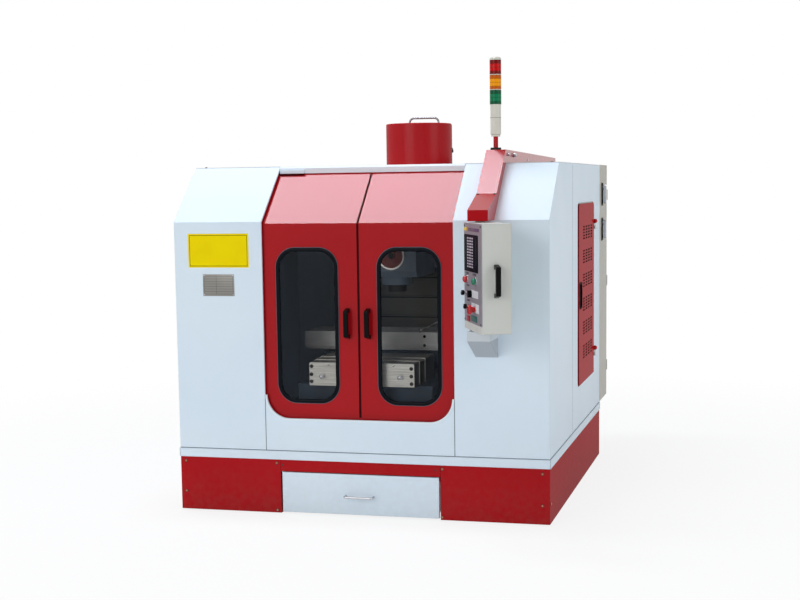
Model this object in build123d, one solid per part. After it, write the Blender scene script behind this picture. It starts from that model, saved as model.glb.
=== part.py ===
"""Small vertical machining centre: folded sheet enclosure, moving axes, service doors and pendant."""
import os
from math import hypot, radians, sin

from build123d import *

# Enclosure: X to the right, Y to the back from the front plane, Z up from the floor
enclosure_width = 1800
enclosure_depth = 1813
floor_gap = 6
skirt_top = 263
ledge_height = 45
slope_rise = 259
roof_height = 1649
roof_front = 294
seam_to_door = 196
sheet = 3

# Clearances and cuts
overrun = 8
seam = 1
fit_gap = 0.3
slide_gap = 0.5
running_gap = 0.05

# Front covers
cover_edge = 460
cover_return = 8
opening_bottom = 463
opening_half = 450
opening_corner = 110
fascia_front = 280
fascia_height = 34.5
fascia_chamfer = 10

# Sliding doors
door_recess = 20
door_bottom = 445
door_crest_gap = 11.8
door_overlap = 15
door_return = 20
return_bottom = 480
return_crest_gap = 111.8
channel_width = 20
channel_drop = 14

# Windows
window_width = 306
window_head = 120.5
window_sill = 71.5
window_x = 246
window_corner = 95
seal_width = 20
seal_grip = 8
seal_proud = 6
glass_thickness = 5

# Door rails
rail_web = 4
rail_head = 14
rail_end = 20
guide_low = 310
guide_high = 345
guide_thickness = 12
hanger_front = 316

# Bow handles
handle_length = 143
handle_reach = 42
handle_bar = 16
handle_width = 22
handle_foot = 20
handle_rake = 10
handle_round = 7
door_handle_x = 50
door_handle_lift = 13

# Base skirts and drawer
skirt_edge = 390
skirt_return = 25
flange_width = 40
strip_bottom = 208
drawer_half = 382
drawer_bottom = 12
drawer_top = 204
drawer_depth = 430
drawer_front_depth = 20
drawer_box_half = 356
drawer_lip = 20
drawer_lip_z = 186
runner_half = 387
drawer_handle_width = 136
drawer_handle_z = 101
drawer_handle_rod = 10
drawer_handle_reach = 36

# Bed and levelling pads
bed_half = 330
bed_front = 110
bed_rear_gap = 253
bed_foot = 45
bed_top = 615
bed_leg_front = 470
bed_deck = 225
bed_wall = 45
bed_roof = 75
way_inner = 120
way_outer = 190
way_height = 45
way_front = 130
way_rear_gap = 80
pad_diameter = 84
pad_height = 18
pad_stud = 24
pad_x = 306
pad_inset = 60

# Saddle, table and their drive
saddle_half = 300
saddle_front = 430
saddle_depth = 270
saddle_top = 735
saddle_wing = 690
gib_width = 25
gib_drop = 32
cross_way_front = 485
cross_way_width = 160
cross_way_height = 25
table_length = 800
table_front = 436
table_depth = 258
table_top = 835
table_gib = 24
table_gib_drop = 16
slot_count = 3
slot_pitch = 70
slot_neck = 14
slot_neck_depth = 16
slot_head = 24
slot_head_depth = 11
motor_side = 90
motor_length = 130
motor_flange = 12
motor_corner = 10

# Telescopic cover over the front ways
cover_half = 256
cover_top = 725
cover_front = 60
cover_rear = 425
cover_chamfer = 5
cover_stagger = 95

# Column and its telescopic cover
column_half = 180
column_depth = 400
column_wall = 40
column_clear = 6
foot_half = 250
foot_inset = 60
foot_lip = 20
foot_height = 50
rail_inner = 80
rail_outer = 140
rail_depth = 30
rail_bottom = 700
apron_half = 172
apron_stand = 34
apron_depth = 28
lower_apron_height = 195
middle_apron_bottom = 760
middle_apron_height = 200
upper_apron_height = 260

# Spindle head
head_half = 125
head_reach = 95
head_rise_share = 0.31443
head_height = 240
head_chamfer = 45
head_chin = 30
head_gib = 25
throat = 345
nose_diameter = 150
nose_drop = 40
spindle_diameter = 80
spindle_flange = 100
spindle_drop = 76
taper_mouth = 44.5
taper_end = 26
taper_depth = 65
spindle_motor_side = 132
motor_rise_share = 0.4747
cap_diameter = 140
cap_depth = 20
cap_rise = 109
cap_rim = 9
cap_hub = 40

# Roof cover over the column drive
dome_half = 176
dome_setback = 157
dome_height = 228
dome_round = 6
bail_width = 162
bail_height = 36
bail_rod = 11
bail_setback = 120

# Cable duct on the roof
duct_inset = 250
duct_width = 92
duct_rise = 61
duct_reach = 146
duct_block_height = 48
duct_kink_y = 60
duct_kink_rise = 120
duct_crest_gap = 4
duct_flat = 60
duct_tail_drop = 18

# Signal tower
tower_inset = 40
tower_setback = 28
tower_foot = 50
tower_foot_height = 10
tower_pole = 22
tower_pole_length = 61
tower_base = 50
tower_base_height = 135
tower_lens = 54
tower_lens_height = 65
tower_lens_count = 3
tower_ring = 4
tower_ring_inset = 2
tower_cap_height = 14

# Operator pendant, on a vertical swivel between duct and bracket
pendant_turn = 66
pivot_inset = 46
pivot_y = -86
pivot_pin = 24
pivot_collar = 44
pivot_reach = 12
pendant_back = 38
pendant_width = 352
pendant_half_depth = 66
pendant_gap = 7
pendant_height = 470
plate_thickness = 4
bracket_inset = 3
bracket_width = 104
bracket_gap = 8
bracket_reach = 185
bracket_lip = 44
bracket_height = 135
grip_rise = 227

# Controls on the pendant, as shares of the plate from its top left corner
stop_shares = (0.165, 0.53)
start_shares = (0.68, 0.53)
mode_shares = (0.142, 0.657)
feed_shares = (0.415, 0.657)
axis_shares = (0.284, 0.78)
emergency_shares = (0.64, 0.79)
button_head = 31
button_rise = 14
button_stem = 16
button_stem_length = 24
button_travel = 4
knob_head = 24
knob_rise = 30
knob_grip = 9
knob_skirt_height = 8
dial_head = 32
dial_rise = 18
mushroom_head = 42
mushroom_rise = 34
mushroom_thickness = 14
mushroom_neck = 26

# Side door with vents
side_door_width = 595
side_door_rear_gap = 290
side_door_bottom = 517
side_door_head = 204
side_door_corner = 28
side_door_depth = 4
side_opening_lap = 22
vent_groups = 6
vent_columns = 4
vent_rows = 5
vent_front_margin = 137
vent_rear_margin = 68
vent_head = 116
vent_foot = 124
vent_row_share = 0.1194
vent_slot_share = 0.07
vent_bridge = 36
side_handle_inset = 65
side_handle_drop = 4
pull_width = 80
pull_height = 136
pull_corner = 14
pull_rim = 7
pull_flange = 3
pull_depth = 18
hinge_setback = 28
hinge_foot = 103
hinge_head = 129
side_hinge_length = 16
hinge_pin = 8
hinge_barrel = 15
hinge_length = 30
hinge_offset = 8
hinge_leaf = 40
hinge_ball = 24

# Electrical cabinet behind the enclosure
cabinet_width = 500
cabinet_depth = 336
cabinet_bottom = 307
cabinet_rise = 1
cabinet_door_depth = 15
cabinet_door_gap = 6
cabinet_lip = 22
cabinet_hinge_foot = 173
cabinet_hinge_head = 170
cabinet_hinge_count = 3
cabinet_pin_inset = 4
cabinet_pin_offset = 9
latch_setback = 104
latch_head = 124
latch_pitch = 198
latch_shaft = 12
latch_length = 105
latch_width = 24
latch_thickness = 12
latch_boss = 30
latch_rise = 12
cam_reach = 60
cam_width = 18
cam_thickness = 3
board_stand = 25
board_margin = 30
drive_count = 4
drive_depth = 150
drive_width = 52
drive_tall = 260
drive_head = 470

# Worked out from the sizes above
half = enclosure_width / 2
ledge_top = skirt_top + ledge_height
roof_under = roof_height - sheet
fold_height = roof_height - slope_rise
slope_length = hypot(roof_front, slope_rise)
slope_y = roof_front / slope_length
slope_z = slope_rise / slope_length
outline = [(0, ledge_top), (0, fold_height), (roof_front - sheet * slope_y / slope_z, roof_under)]
door_slope = slope_length - door_crest_gap
return_slope = slope_length - return_crest_gap
window_top = fold_height - window_head
window_bottom = opening_bottom + window_sill
window_height = window_top - window_bottom
window_z = (window_top + window_bottom) / 2
door_handle_z = window_z + door_handle_lift
bed_rear = enclosure_depth - bed_rear_gap
pad_front = bed_leg_front + pad_inset
pad_rear = bed_rear - pad_inset
foot_rear = bed_rear - foot_inset
column_rear = foot_rear - foot_lip
column_front = column_rear - column_depth
foot_front = column_front - foot_lip
column_top = roof_under - column_clear
way_rear = column_front - way_rear_gap
apron_front = column_front - apron_stand
spindle_y = column_front - throat
head_front = spindle_y - head_reach
head_bottom = table_top + head_rise_share * (roof_under - table_top)
head_top = head_bottom + head_height
spindle_tip = head_bottom - spindle_drop
spindle_motor_height = motor_rise_share * (roof_under - head_top)
cap_z = head_bottom + cap_rise
dome_middle = column_front + dome_setback
bail_y = dome_middle + bail_setback
duct_right = half - duct_inset
duct_left = duct_right - duct_width
tower_x = duct_left + tower_inset
pivot_x = duct_left + pivot_inset
bracket_left = duct_left + bracket_inset
bracket_right = bracket_left + bracket_width
duct_top = roof_height + duct_rise
duct_block_top = fold_height + duct_block_height
duct_kink_z = fold_height + duct_kink_rise
duct_crest_y = roof_front - duct_crest_gap
tower_y = duct_crest_y + tower_setback
pendant_top = fold_height - pendant_gap
pendant_bottom = pendant_top - pendant_height
bracket_top = pendant_bottom - bracket_gap
bracket_kink = bracket_top - bracket_lip
bracket_foot = bracket_top - bracket_height
grip_z = pendant_bottom + grip_rise
side_door_rear = enclosure_depth - side_door_rear_gap
side_door_front = side_door_rear - side_door_width
side_door_top = roof_height - side_door_head
side_seam = side_door_front - seam_to_door
vent_front = side_door_front + vent_front_margin
vent_rear = side_door_rear - vent_rear_margin
vent_top = side_door_top - vent_head
vent_rows_share = (vent_rows - 1) * vent_row_share + vent_slot_share
vent_group_pitch = (vent_top - side_door_bottom - vent_foot) / (vent_groups - 1 + vent_rows_share)
vent_row_pitch = vent_group_pitch * vent_row_share
vent_slot = vent_group_pitch * vent_slot_share
side_handle_y = side_door_front + side_handle_inset
side_handle_z = (side_door_bottom + side_door_top) / 2 - side_handle_drop
hinge_y = side_door_rear + hinge_setback
cabinet_top = roof_height + cabinet_rise
latch_y = enclosure_depth + latch_setback
drive_z = cabinet_top - drive_head
cover_step = sheet + slide_gap
cabinet_rear = enclosure_depth + cabinet_depth
cabinet_right = half
cabinet_left = cabinet_right - cabinet_width
cabinet_hinge_x = cabinet_right - cabinet_pin_inset
cabinet_hinge_y = cabinet_rear + cabinet_pin_offset
pendant_spread = pendant_width - pendant_back
hinge_heights = (side_door_bottom + hinge_foot, side_door_top - hinge_head)
latch_heights = (cabinet_top - latch_head, cabinet_top - latch_head - latch_pitch)
cabinet_hinge_low = cabinet_bottom + cabinet_hinge_foot
cabinet_hinge_pitch = (cabinet_top - cabinet_hinge_head - cabinet_hinge_low) / (cabinet_hinge_count - 1)
cabinet_hinge_heights = [cabinet_hinge_low + i * cabinet_hinge_pitch for i in range(cabinet_hinge_count)]
tower_base_bottom = duct_top + tower_foot_height + tower_pole_length
tower_lamps_bottom = tower_base_bottom + tower_base_height
tower_stage = tower_ring + tower_lens_height
apron_step = sheet + slide_gap
origin_x = (cabinet_right + fit_gap + latch_rise + latch_thickness - half) / 2
pendant_end = pivot_y - (pendant_spread + handle_reach) * sin(radians(pendant_turn))
origin_y = (cabinet_hinge_y + hinge_barrel / 2 + pendant_end) / 2


def across(face, left, right):
    """Extrude a face drawn in Y and Z from one X to another."""
    return Pos(left, 0, 0) * extrude(Plane.YZ * face, right - left, dir=(1, 0, 0))


def along(face, front, rear):
    """Extrude a face drawn in X and Z from one Y to another."""
    return Pos(0, front, 0) * extrude(Plane.XZ * face, rear - front, dir=(0, 1, 0))


def upright(face, bottom, top):
    """Extrude a face drawn in X and Y from one Z to another."""
    return Pos(0, 0, bottom) * extrude(face, top - bottom, dir=(0, 0, 1))


def shape(*points):
    """A face with straight sides, in its own plane's coordinates."""
    return Polygon(*points, align=None)


def block(left, right, front, rear, bottom, top):
    """A box between two values on each axis."""
    return across(shape((front, bottom), (rear, bottom), (rear, top), (front, top)), left, right)


def rod(x, y, diameter, bottom, top):
    """An upright cylinder."""
    return Pos(x, y, bottom) * Cylinder(
        diameter / 2, top - bottom, align=(Align.CENTER, Align.CENTER, Align.MIN)
    )


def inset(points, distance):
    """The points of an open outline moved square to its lines, to the right of its direction."""
    corners = [Vector(*point) for point in points]
    sides = [(b - a).normalized().rotate(Axis.Z, -90) for a, b in zip(corners, corners[1:])]
    moved = [corners[0] + sides[0] * distance]
    for before, after, corner in zip(sides, sides[1:], corners[1:]):
        moved.append(corner + (before + after) * (distance / (1 + before.dot(after))))
    moved.append(corners[-1] + sides[-1] * distance)
    return [(point.X, point.Y) for point in moved]


def folded(points, thickness):
    """The section of a folded sheet whose outer side runs through the points."""
    return shape(*points, *reversed(inset(points, thickness)))


def slope_point(run, depth):
    """A place on the sloped front: a run up from the fold and a depth inwards."""
    return (slope_y * run + slope_z * depth, fold_height + slope_z * run - slope_y * depth)


def bow(length, reach, bar, width):
    """A bow handle on the plane y = 0, standing out to -Y, with its length along Z."""
    outer = shape(
        (0, -length / 2),
        (-reach, handle_rake - length / 2),
        (-reach, length / 2 - handle_rake),
        (0, length / 2),
    )
    gap = length / 2 - handle_foot
    inner = shape((overrun, -gap), (bar - reach, -gap), (bar - reach, gap), (overrun, gap))
    face = outer - inner
    ends = face.vertices().filter_by(lambda v: v.X < bar / 2 - reach)
    face = fillet(ends, handle_round)
    solid = across(face, -width / 2, width / 2)
    return fillet(solid.edges().filter_by(Axis.Z).group_by(Axis.Y)[0], handle_round / 2)


def bed():
    """Cast bed: a deck over the drawer, hollow legs behind it, and two box ways on top."""
    body = across(
        shape(
            (bed_front, bed_deck),
            (bed_leg_front, bed_deck),
            (bed_leg_front, bed_foot),
            (bed_rear, bed_foot),
            (bed_rear, bed_top),
            (bed_front, bed_top),
        ),
        -bed_half,
        bed_half,
    )
    middle = (bed_leg_front + bed_rear) / 2
    for front, rear in ((bed_leg_front, middle), (middle, bed_rear)):
        body -= block(
            bed_wall - bed_half,
            bed_half - bed_wall,
            front + bed_wall,
            rear - bed_wall,
            bed_foot - overrun,
            bed_top - bed_roof,
        )
    for side in (-1, 1):
        left, right = sorted((side * way_inner, side * way_outer))
        body += block(left, right, way_front, way_rear, bed_top, bed_top + way_height)
    return body


def levelling_pads():
    """Six round pads, each with a stud up to the bed's foot."""
    pads = []
    for x in (-pad_x, pad_x):
        for y in (pad_front, (pad_front + pad_rear) / 2, pad_rear):
            pads.append(rod(x, y, pad_diameter, 0, pad_height) + rod(x, y, pad_stud, pad_height, bed_foot))
    return Compound(children=pads)


def chip_pan():
    """Tray between skirts and covers; its rim is the pale ledge, and the bed passes through it."""
    tray = block(-half, half, 0, enclosure_depth, skirt_top, ledge_top)
    tray -= block(
        sheet - half, half - sheet, sheet, enclosure_depth - sheet, skirt_top + sheet, ledge_top + overrun
    )
    return tray - block(
        -bed_half - fit_gap,
        bed_half + fit_gap,
        bed_front - fit_gap,
        bed_rear + fit_gap,
        skirt_top - overrun,
        ledge_top,
    )


def front_skirt(side):
    """Red panel beside the drawer, folded back at both upright edges."""
    left, right = sorted((side * skirt_edge, side * half))
    body = block(left, right, 0, skirt_return, floor_gap, skirt_top)
    return body - block(
        left + sheet, right - sheet, sheet, skirt_return + overrun, floor_gap - overrun, skirt_top + overrun
    )


def base_surround():
    """Welded side and rear skirts with a top flange, the strip over the drawer and its runners."""
    front = skirt_return
    rear = enclosure_depth
    body = block(-half, half, front, rear, floor_gap, skirt_top)
    body -= block(
        sheet - half, half - sheet, front - overrun, rear - sheet, floor_gap - overrun, skirt_top - sheet
    )
    reach = flange_width
    body -= block(
        reach - half,
        half - reach,
        front + reach,
        rear - reach,
        skirt_top - sheet - overrun,
        skirt_top + overrun,
    )
    body += block(seam - skirt_edge, skirt_edge - seam, 0, sheet, strip_bottom, skirt_top)
    body += block(seam - skirt_edge, skirt_edge - seam, 0, front + sheet, skirt_top - sheet, skirt_top)
    for side in (-1, 1):
        leg = shape(
            (side * runner_half, skirt_top),
            (side * runner_half, drawer_lip_z - sheet - fit_gap),
            (side * (runner_half - drawer_lip), drawer_lip_z - sheet - fit_gap),
            (side * (runner_half - drawer_lip), drawer_lip_z - fit_gap),
            (side * (runner_half - sheet), drawer_lip_z - fit_gap),
            (side * (runner_half - sheet), skirt_top),
        )
        body += along(leg, skirt_return, drawer_depth)
    return body


def chip_drawer():
    """Folded drawer front on an open box with side lips that ride on the runners."""
    front = block(-drawer_half, drawer_half, 0, drawer_front_depth, drawer_bottom, drawer_top)
    front -= block(
        sheet - drawer_half,
        drawer_half - sheet,
        sheet,
        drawer_front_depth + overrun,
        drawer_bottom + sheet,
        drawer_top - sheet,
    )
    top = drawer_lip_z + sheet
    box = block(-drawer_box_half, drawer_box_half, 0, drawer_depth, drawer_bottom, top)
    box -= block(
        sheet - drawer_box_half, drawer_box_half - sheet, sheet, drawer_depth - sheet, drawer_bottom + sheet,
        top + overrun,
    )
    lip_half = runner_half - sheet - seam
    lip_front = skirt_return
    for side in (-1, 1):
        left, right = sorted((side * drawer_box_half, side * lip_half))
        box += block(left, right, lip_front, drawer_depth, drawer_lip_z, top)
    return front + box


def drawer_handle():
    """Bent chrome rod with two feet on the drawer front."""
    path_half = drawer_handle_width / 2
    route = FilletPolyline(
        (-path_half, 0, drawer_handle_z),
        (-path_half, -drawer_handle_reach, drawer_handle_z),
        (path_half, -drawer_handle_reach, drawer_handle_z),
        (path_half, 0, drawer_handle_z),
        radius=drawer_handle_rod,
    )
    start = Plane(origin=route @ 0, z_dir=route % 0)
    return sweep(start * Circle(drawer_handle_rod / 2), path=route)


def front_cover(side):
    """White cover: front, sloped top and the side as far as its seam, folded back beside the door."""
    inner, outer = side * cover_edge, side * half
    left, right = sorted((inner, outer))
    body = across(folded(outline, sheet), left, right)
    edge = sorted((inner, inner + side * sheet))
    body += across(folded(outline, cover_return), *edge)
    wall = shape(*outline, (side_seam - seam, roof_under), (side_seam - seam, ledge_top))
    return body + across(wall, *sorted((outer, outer - side * sheet)))


def lower_cover():
    """White cover under the doors, with the rounded lower corners of the opening."""
    top = opening_bottom + opening_corner
    edge = cover_edge - seam
    plate = block(-edge, edge, 0, cover_return, ledge_top, top)
    reach = edge + overrun
    plate -= block(-reach, reach, sheet, cover_return + overrun, ledge_top, opening_bottom - sheet)
    cut = Pos(0, opening_bottom + opening_half) * RectangleRounded(
        2 * opening_half, 2 * opening_half, opening_corner
    )
    return plate - along(cut, -overrun, cover_return + overrun)


def side_wall(side):
    """Rear part of a side wall, folded inwards at its front seam."""
    outer = side * half
    wall = block(*sorted((outer, outer - side * sheet)), side_seam, enclosure_depth, ledge_top, roof_under)
    return wall + block(
        *sorted((outer, outer - side * skirt_return)), side_seam, side_seam + sheet, ledge_top, roof_under
    )


def side_outline(lap):
    """Side door outline in Y and Z, drawn in by a lap, with two round top corners."""
    width = side_door_rear - side_door_front - 2 * lap
    height = side_door_top - side_door_bottom - 2 * lap
    face = Rectangle(width, height)
    face = fillet(face.vertices().group_by(Axis.Y)[-1], side_door_corner - lap)
    return Pos((side_door_front + side_door_rear) / 2, (side_door_bottom + side_door_top) / 2) * face


def side_cover():
    """Right side wall with the service opening and the fixed halves of the door's lift-off hinges."""
    wall = side_wall(1)
    wall -= across(side_outline(side_opening_lap), half - skirt_return - overrun, half + overrun)
    x = half + hinge_offset
    for z in hinge_heights:
        wall += block(half, half + sheet, hinge_y, hinge_y + hinge_leaf, z - side_hinge_length, z)
        wall += fixed_hinge(x, hinge_y, z, side_hinge_length)
        seat = z + side_hinge_length + slide_gap
        ball = Pos(x, hinge_y, seat + hinge_ball / 2 - seam) * Sphere(hinge_ball / 2)
        wall += ball - rod(x, hinge_y, hinge_ball, z, seat)
    return wall


def rear_cover():
    """Left side wall folded round the rear corner into the back wall."""
    back = block(-half, half - sheet, enclosure_depth - sheet, enclosure_depth, ledge_top, roof_under)
    return side_wall(-1) + back


def roof_cover():
    """Roof sheet with a front tongue and fascia over the doors."""
    body = block(-half, half, roof_front, enclosure_depth, roof_under, roof_height)
    tongue = cover_edge - seam
    edge = [
        (fascia_front, roof_height - fascia_height),
        (fascia_front, roof_height - fascia_chamfer),
        (fascia_front + fascia_chamfer, roof_height),
        (roof_front, roof_height),
    ]
    return body + across(folded(edge, sheet), -tongue, tongue)


def door_rails():
    """Lower rail standing in the pan, and upper guide hung under the roof."""
    end = half - rail_end
    front = door_recess + sheet + (channel_width - rail_head) / 2
    middle = front + rail_head / 2
    top = door_bottom + channel_drop - fit_gap
    lower = shape(
        (middle - rail_web / 2, skirt_top + sheet),
        (middle + rail_web / 2, skirt_top + sheet),
        (middle + rail_web / 2, door_bottom),
        (front + rail_head, door_bottom),
        (front + rail_head, top),
        (front, top),
        (front, door_bottom),
        (middle - rail_web / 2, door_bottom),
    )
    near = door_recess + sheet + slide_gap
    corner = slope_point(guide_high, near)
    upper = shape(
        slope_point(guide_low, near),
        corner,
        (hanger_front, corner[1]),
        (hanger_front, roof_under),
        (hanger_front + rail_web, roof_under),
        (hanger_front + rail_web, corner[1] - guide_thickness),
        slope_point(guide_low, near + guide_thickness),
    )
    return across(lower, -end, end) + across(upper, -end, end)


def window(lap, front, rear, side):
    """Rounded window block, drawn in by a lap from the seal's outer edge."""
    face = RectangleRounded(window_width - 2 * lap, window_height - 2 * lap, window_corner - lap)
    return along(Pos(side * window_x, window_z) * face, front, rear)


def door(side):
    """Folded door with a window cut-out, edge returns and a channel over the lower rail."""
    line = inset(outline, door_recess)
    bottom = (line[0][0], door_bottom)
    crest = (line[1][0] + slope_y * door_slope, line[1][1] + slope_z * door_slope)
    left, right = sorted((side * seam, side * (cover_edge + door_overlap)))
    body = across(folded([bottom, line[1], crest], sheet), left, right)
    back = door_recess + 2 * sheet + channel_width
    top = door_bottom + channel_drop
    channel = shape(
        (door_recess, top),
        (back - sheet, top),
        (back - sheet, door_bottom),
        (back, door_bottom),
        (back, top + sheet),
        (door_recess, top + sheet),
    )
    body += across(channel, left, right)
    stop = (line[1][0] + slope_y * return_slope, line[1][1] + slope_z * return_slope)
    fold = folded([(line[0][0], return_bottom), line[1], stop], door_return)
    body += across(fold, left, left + sheet)
    body += across(fold, right - sheet, right)
    return body - window(seal_grip, door_recess - overrun, door_recess + overrun, side)


def window_seal(side):
    """Rubber ring that grips the door sheet outside and the glass inside."""
    front = door_recess - seal_proud
    rear = door_recess + sheet + seal_proud
    ring = window(0, front, rear, side) - window(seal_width, front - overrun, rear + overrun, side)
    sheet_groove = window(-overrun, door_recess, door_recess + sheet, side)
    sheet_groove -= window(seal_grip + fit_gap, door_recess - overrun, door_recess + sheet + overrun, side)
    middle = door_recess + sheet / 2
    glass_groove = window(
        seal_width - seal_grip - fit_gap, middle - glass_thickness / 2, middle + glass_thickness / 2, side
    )
    return ring - sheet_groove - glass_groove


def window_glass(side):
    """Flat pane held in the seal."""
    middle = door_recess + sheet / 2
    return window(seal_width - seal_grip, middle - glass_thickness / 2, middle + glass_thickness / 2, side)


def door_handle(side):
    """Bow handle beside the doors' meeting edges."""
    handle = bow(handle_length, handle_reach, handle_bar, handle_width)
    return Pos(side * door_handle_x, door_recess, door_handle_z) * handle


def saddle():
    """Casting on the bed ways with gibs outside them and a cross way on top."""
    low = bed_top + way_height + fit_gap
    grip = way_outer + slide_gap
    outer = grip + gib_width
    gib = low - gib_drop
    points = [(saddle_half, saddle_top), (saddle_half, saddle_wing), (outer, saddle_wing), (outer, gib)]
    points += [(grip, gib), (grip, low)]
    mirrored = [(-x, z) for x, z in reversed(points)]
    body = along(shape(*points, *mirrored), saddle_front, saddle_front + saddle_depth)
    return body + block(
        -saddle_half,
        saddle_half,
        cross_way_front,
        cross_way_front + cross_way_width,
        saddle_top,
        saddle_top + cross_way_height,
    )


def axis_motor(side, length):
    """Square servo motor on the plane z = 0: flange, rounded body and a smaller end cap."""
    flange = upright(RectangleRounded(side, side, motor_corner), 0, motor_flange)
    trimmed = side - motor_flange
    body = upright(RectangleRounded(trimmed, trimmed, 2 * motor_corner), motor_flange, length - motor_flange)
    cap = rod(0, 0, trimmed - motor_flange, length - motor_flange, length)
    return flange + body + cap


def cross_motor():
    """Table drive on the saddle's right end."""
    middle = cross_way_front + cross_way_width / 2
    return Pos(saddle_half, middle, saddle_top - motor_side / 2) * Rot(0, 90, 0) * axis_motor(
        motor_side, motor_length
    )


def table():
    """Work table with three T-slots and gibs over the cross way."""
    low = saddle_top + cross_way_height + fit_gap
    near = cross_way_front - slide_gap
    far = cross_way_front + cross_way_width + slide_gap
    rear = table_front + table_depth
    section = shape(
        (table_front, low),
        (near - table_gib, low),
        (near - table_gib, low - table_gib_drop),
        (near, low - table_gib_drop),
        (near, low),
        (far, low),
        (far, low - table_gib_drop),
        (far + table_gib, low - table_gib_drop),
        (far + table_gib, low),
        (rear, low),
        (rear, table_top),
        (table_front, table_top),
    )
    neck_bottom = table_top - slot_neck_depth
    head_bottom_z = neck_bottom - slot_head_depth
    for index in range(slot_count):
        y = (table_front + rear) / 2 + (index - (slot_count - 1) / 2) * slot_pitch
        section -= shape(
            (y - slot_neck / 2, table_top + overrun),
            (y - slot_neck / 2, neck_bottom),
            (y - slot_head / 2, neck_bottom),
            (y - slot_head / 2, head_bottom_z),
            (y + slot_head / 2, head_bottom_z),
            (y + slot_head / 2, neck_bottom),
            (y + slot_neck / 2, neck_bottom),
            (y + slot_neck / 2, table_top + overrun),
        )
    return across(section, -table_length / 2, table_length / 2)


def way_cover(stage):
    """One hood of the telescopic cover, larger than the hood before it by a sheet and a gap."""
    side = cover_half + stage * cover_step
    top = cover_top + stage * cover_step
    low = bed_top if stage == 0 else bed_top + fit_gap
    front = cover_front + stage * cover_stagger
    rear = cover_rear if stage < 2 else saddle_front
    points = [(-side, low), (-side, top - cover_chamfer), (cover_chamfer - side, top)]
    points += [(side - cover_chamfer, top), (side, top - cover_chamfer), (side, low)]
    hood = along(folded(points, sheet), front, rear)
    if stage == 0:
        hood += along(shape(*points), front, front + sheet)
    return hood


def column():
    """Hollow cast column on a flanged foot, with two ways down its front."""
    body = block(-column_half, column_half, column_front, column_rear, bed_top, column_top)
    body += block(-foot_half, foot_half, foot_front, foot_rear, bed_top, bed_top + foot_height)
    body -= block(
        column_wall - column_half,
        column_half - column_wall,
        column_front + column_wall,
        column_rear - column_wall,
        bed_top - overrun,
        column_top - column_wall,
    )
    for side in (-1, 1):
        left, right = sorted((side * rail_inner, side * rail_outer))
        body += block(left, right, column_front - rail_depth, column_front, rail_bottom, column_top)
    return body


def apron(stage):
    """One plate of the column's telescopic cover, outside the plate below it."""
    front = apron_front - sheet - stage * apron_step
    side = apron_half + sheet + stage * apron_step
    rear = column_front if stage == 0 else apron_front + apron_depth
    foot = bed_top + foot_height
    spans = (
        (foot, foot + lower_apron_height),
        (middle_apron_bottom, middle_apron_bottom + middle_apron_height),
        (head_bottom - upper_apron_height, head_bottom),
    )
    points = [(-side, rear), (-side, front), (side, front), (side, rear)]
    return upright(folded(points, sheet), *spans[stage])


def spindle_head():
    """Head casting with a chamfered brow, a nose ring and gibs around the column ways."""
    rear = column_front - rail_depth - slide_gap
    side_view = shape(
        (head_front, head_bottom + head_chin),
        (head_front, head_top - head_chamfer),
        (head_front + head_chamfer, head_top),
        (rear, head_top),
        (rear, head_bottom),
        (head_front + head_chin, head_bottom),
    )
    body = across(side_view, -head_half, head_half)
    grip = rail_outer + slide_gap
    wide = grip + head_gib
    gib_front = rear - head_gib
    plan = shape(
        (-wide, gib_front), (wide, gib_front), (wide, rear + rail_depth - head_gib / 2),
        (grip, rear + rail_depth - head_gib / 2), (grip, rear), (-grip, rear),
        (-grip, rear + rail_depth - head_gib / 2), (-wide, rear + rail_depth - head_gib / 2),
    )
    body += upright(plan, head_bottom + apron_depth, head_top)
    body += rod(0, spindle_y, nose_diameter, head_bottom - nose_drop, head_bottom)
    body += Pos(0, head_front, cap_z) * Rot(90, 0, 0) * head_cap()
    bore = spindle_diameter + 2 * running_gap
    return body - rod(0, spindle_y, bore, head_bottom - nose_drop - overrun, head_top + overrun)


def spindle():
    """Turning spindle with a nose flange and a steep taper for the tool."""
    nose = head_bottom - nose_drop - fit_gap
    body = rod(0, spindle_y, spindle_flange, spindle_tip, nose)
    body += rod(0, spindle_y, spindle_diameter, nose, head_top)
    taper = Cone(taper_mouth / 2, taper_end / 2, taper_depth, align=(Align.CENTER, Align.CENTER, Align.MIN))
    return body - Pos(0, spindle_y, spindle_tip) * taper


def spindle_motor():
    """Motor on top of the head, over the spindle."""
    motor = axis_motor(spindle_motor_side, spindle_motor_height)
    return Pos(0, spindle_y, head_top + fit_gap) * motor


def head_cap():
    """Round cap on the plane z = 0: a rim, a set-back face and a hub."""
    flat = rod(0, 0, cap_diameter, 0, cap_depth)
    flat -= rod(0, 0, cap_diameter - 2 * cap_rim, cap_depth / 2, cap_depth + overrun)
    return flat + rod(0, 0, cap_hub, cap_depth / 2, cap_depth)


def column_cover():
    """Round hood on the roof over the column drive, open below, with a bent rod bail welded on top."""
    top = roof_height + dome_height
    hood = rod(0, dome_middle, 2 * dome_half, roof_height, top)
    hood = fillet(hood.edges().sort_by(Axis.Z)[-1], dome_round)
    hollow = rod(0, dome_middle, 2 * (dome_half - sheet), roof_height - overrun, top - sheet)
    hood -= fillet(hollow.edges().sort_by(Axis.Z)[-1], dome_round - sheet)
    route = FilletPolyline(
        (-bail_width / 2, bail_y, top),
        (-bail_width / 2, bail_y, top + bail_height),
        (bail_width / 2, bail_y, top + bail_height),
        (bail_width / 2, bail_y, top),
        radius=bail_height - bail_rod,
    )
    start = Plane(origin=route @ 0, z_dir=route % 0)
    return hood + sweep(start * Circle(bail_rod / 2), path=route)


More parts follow.
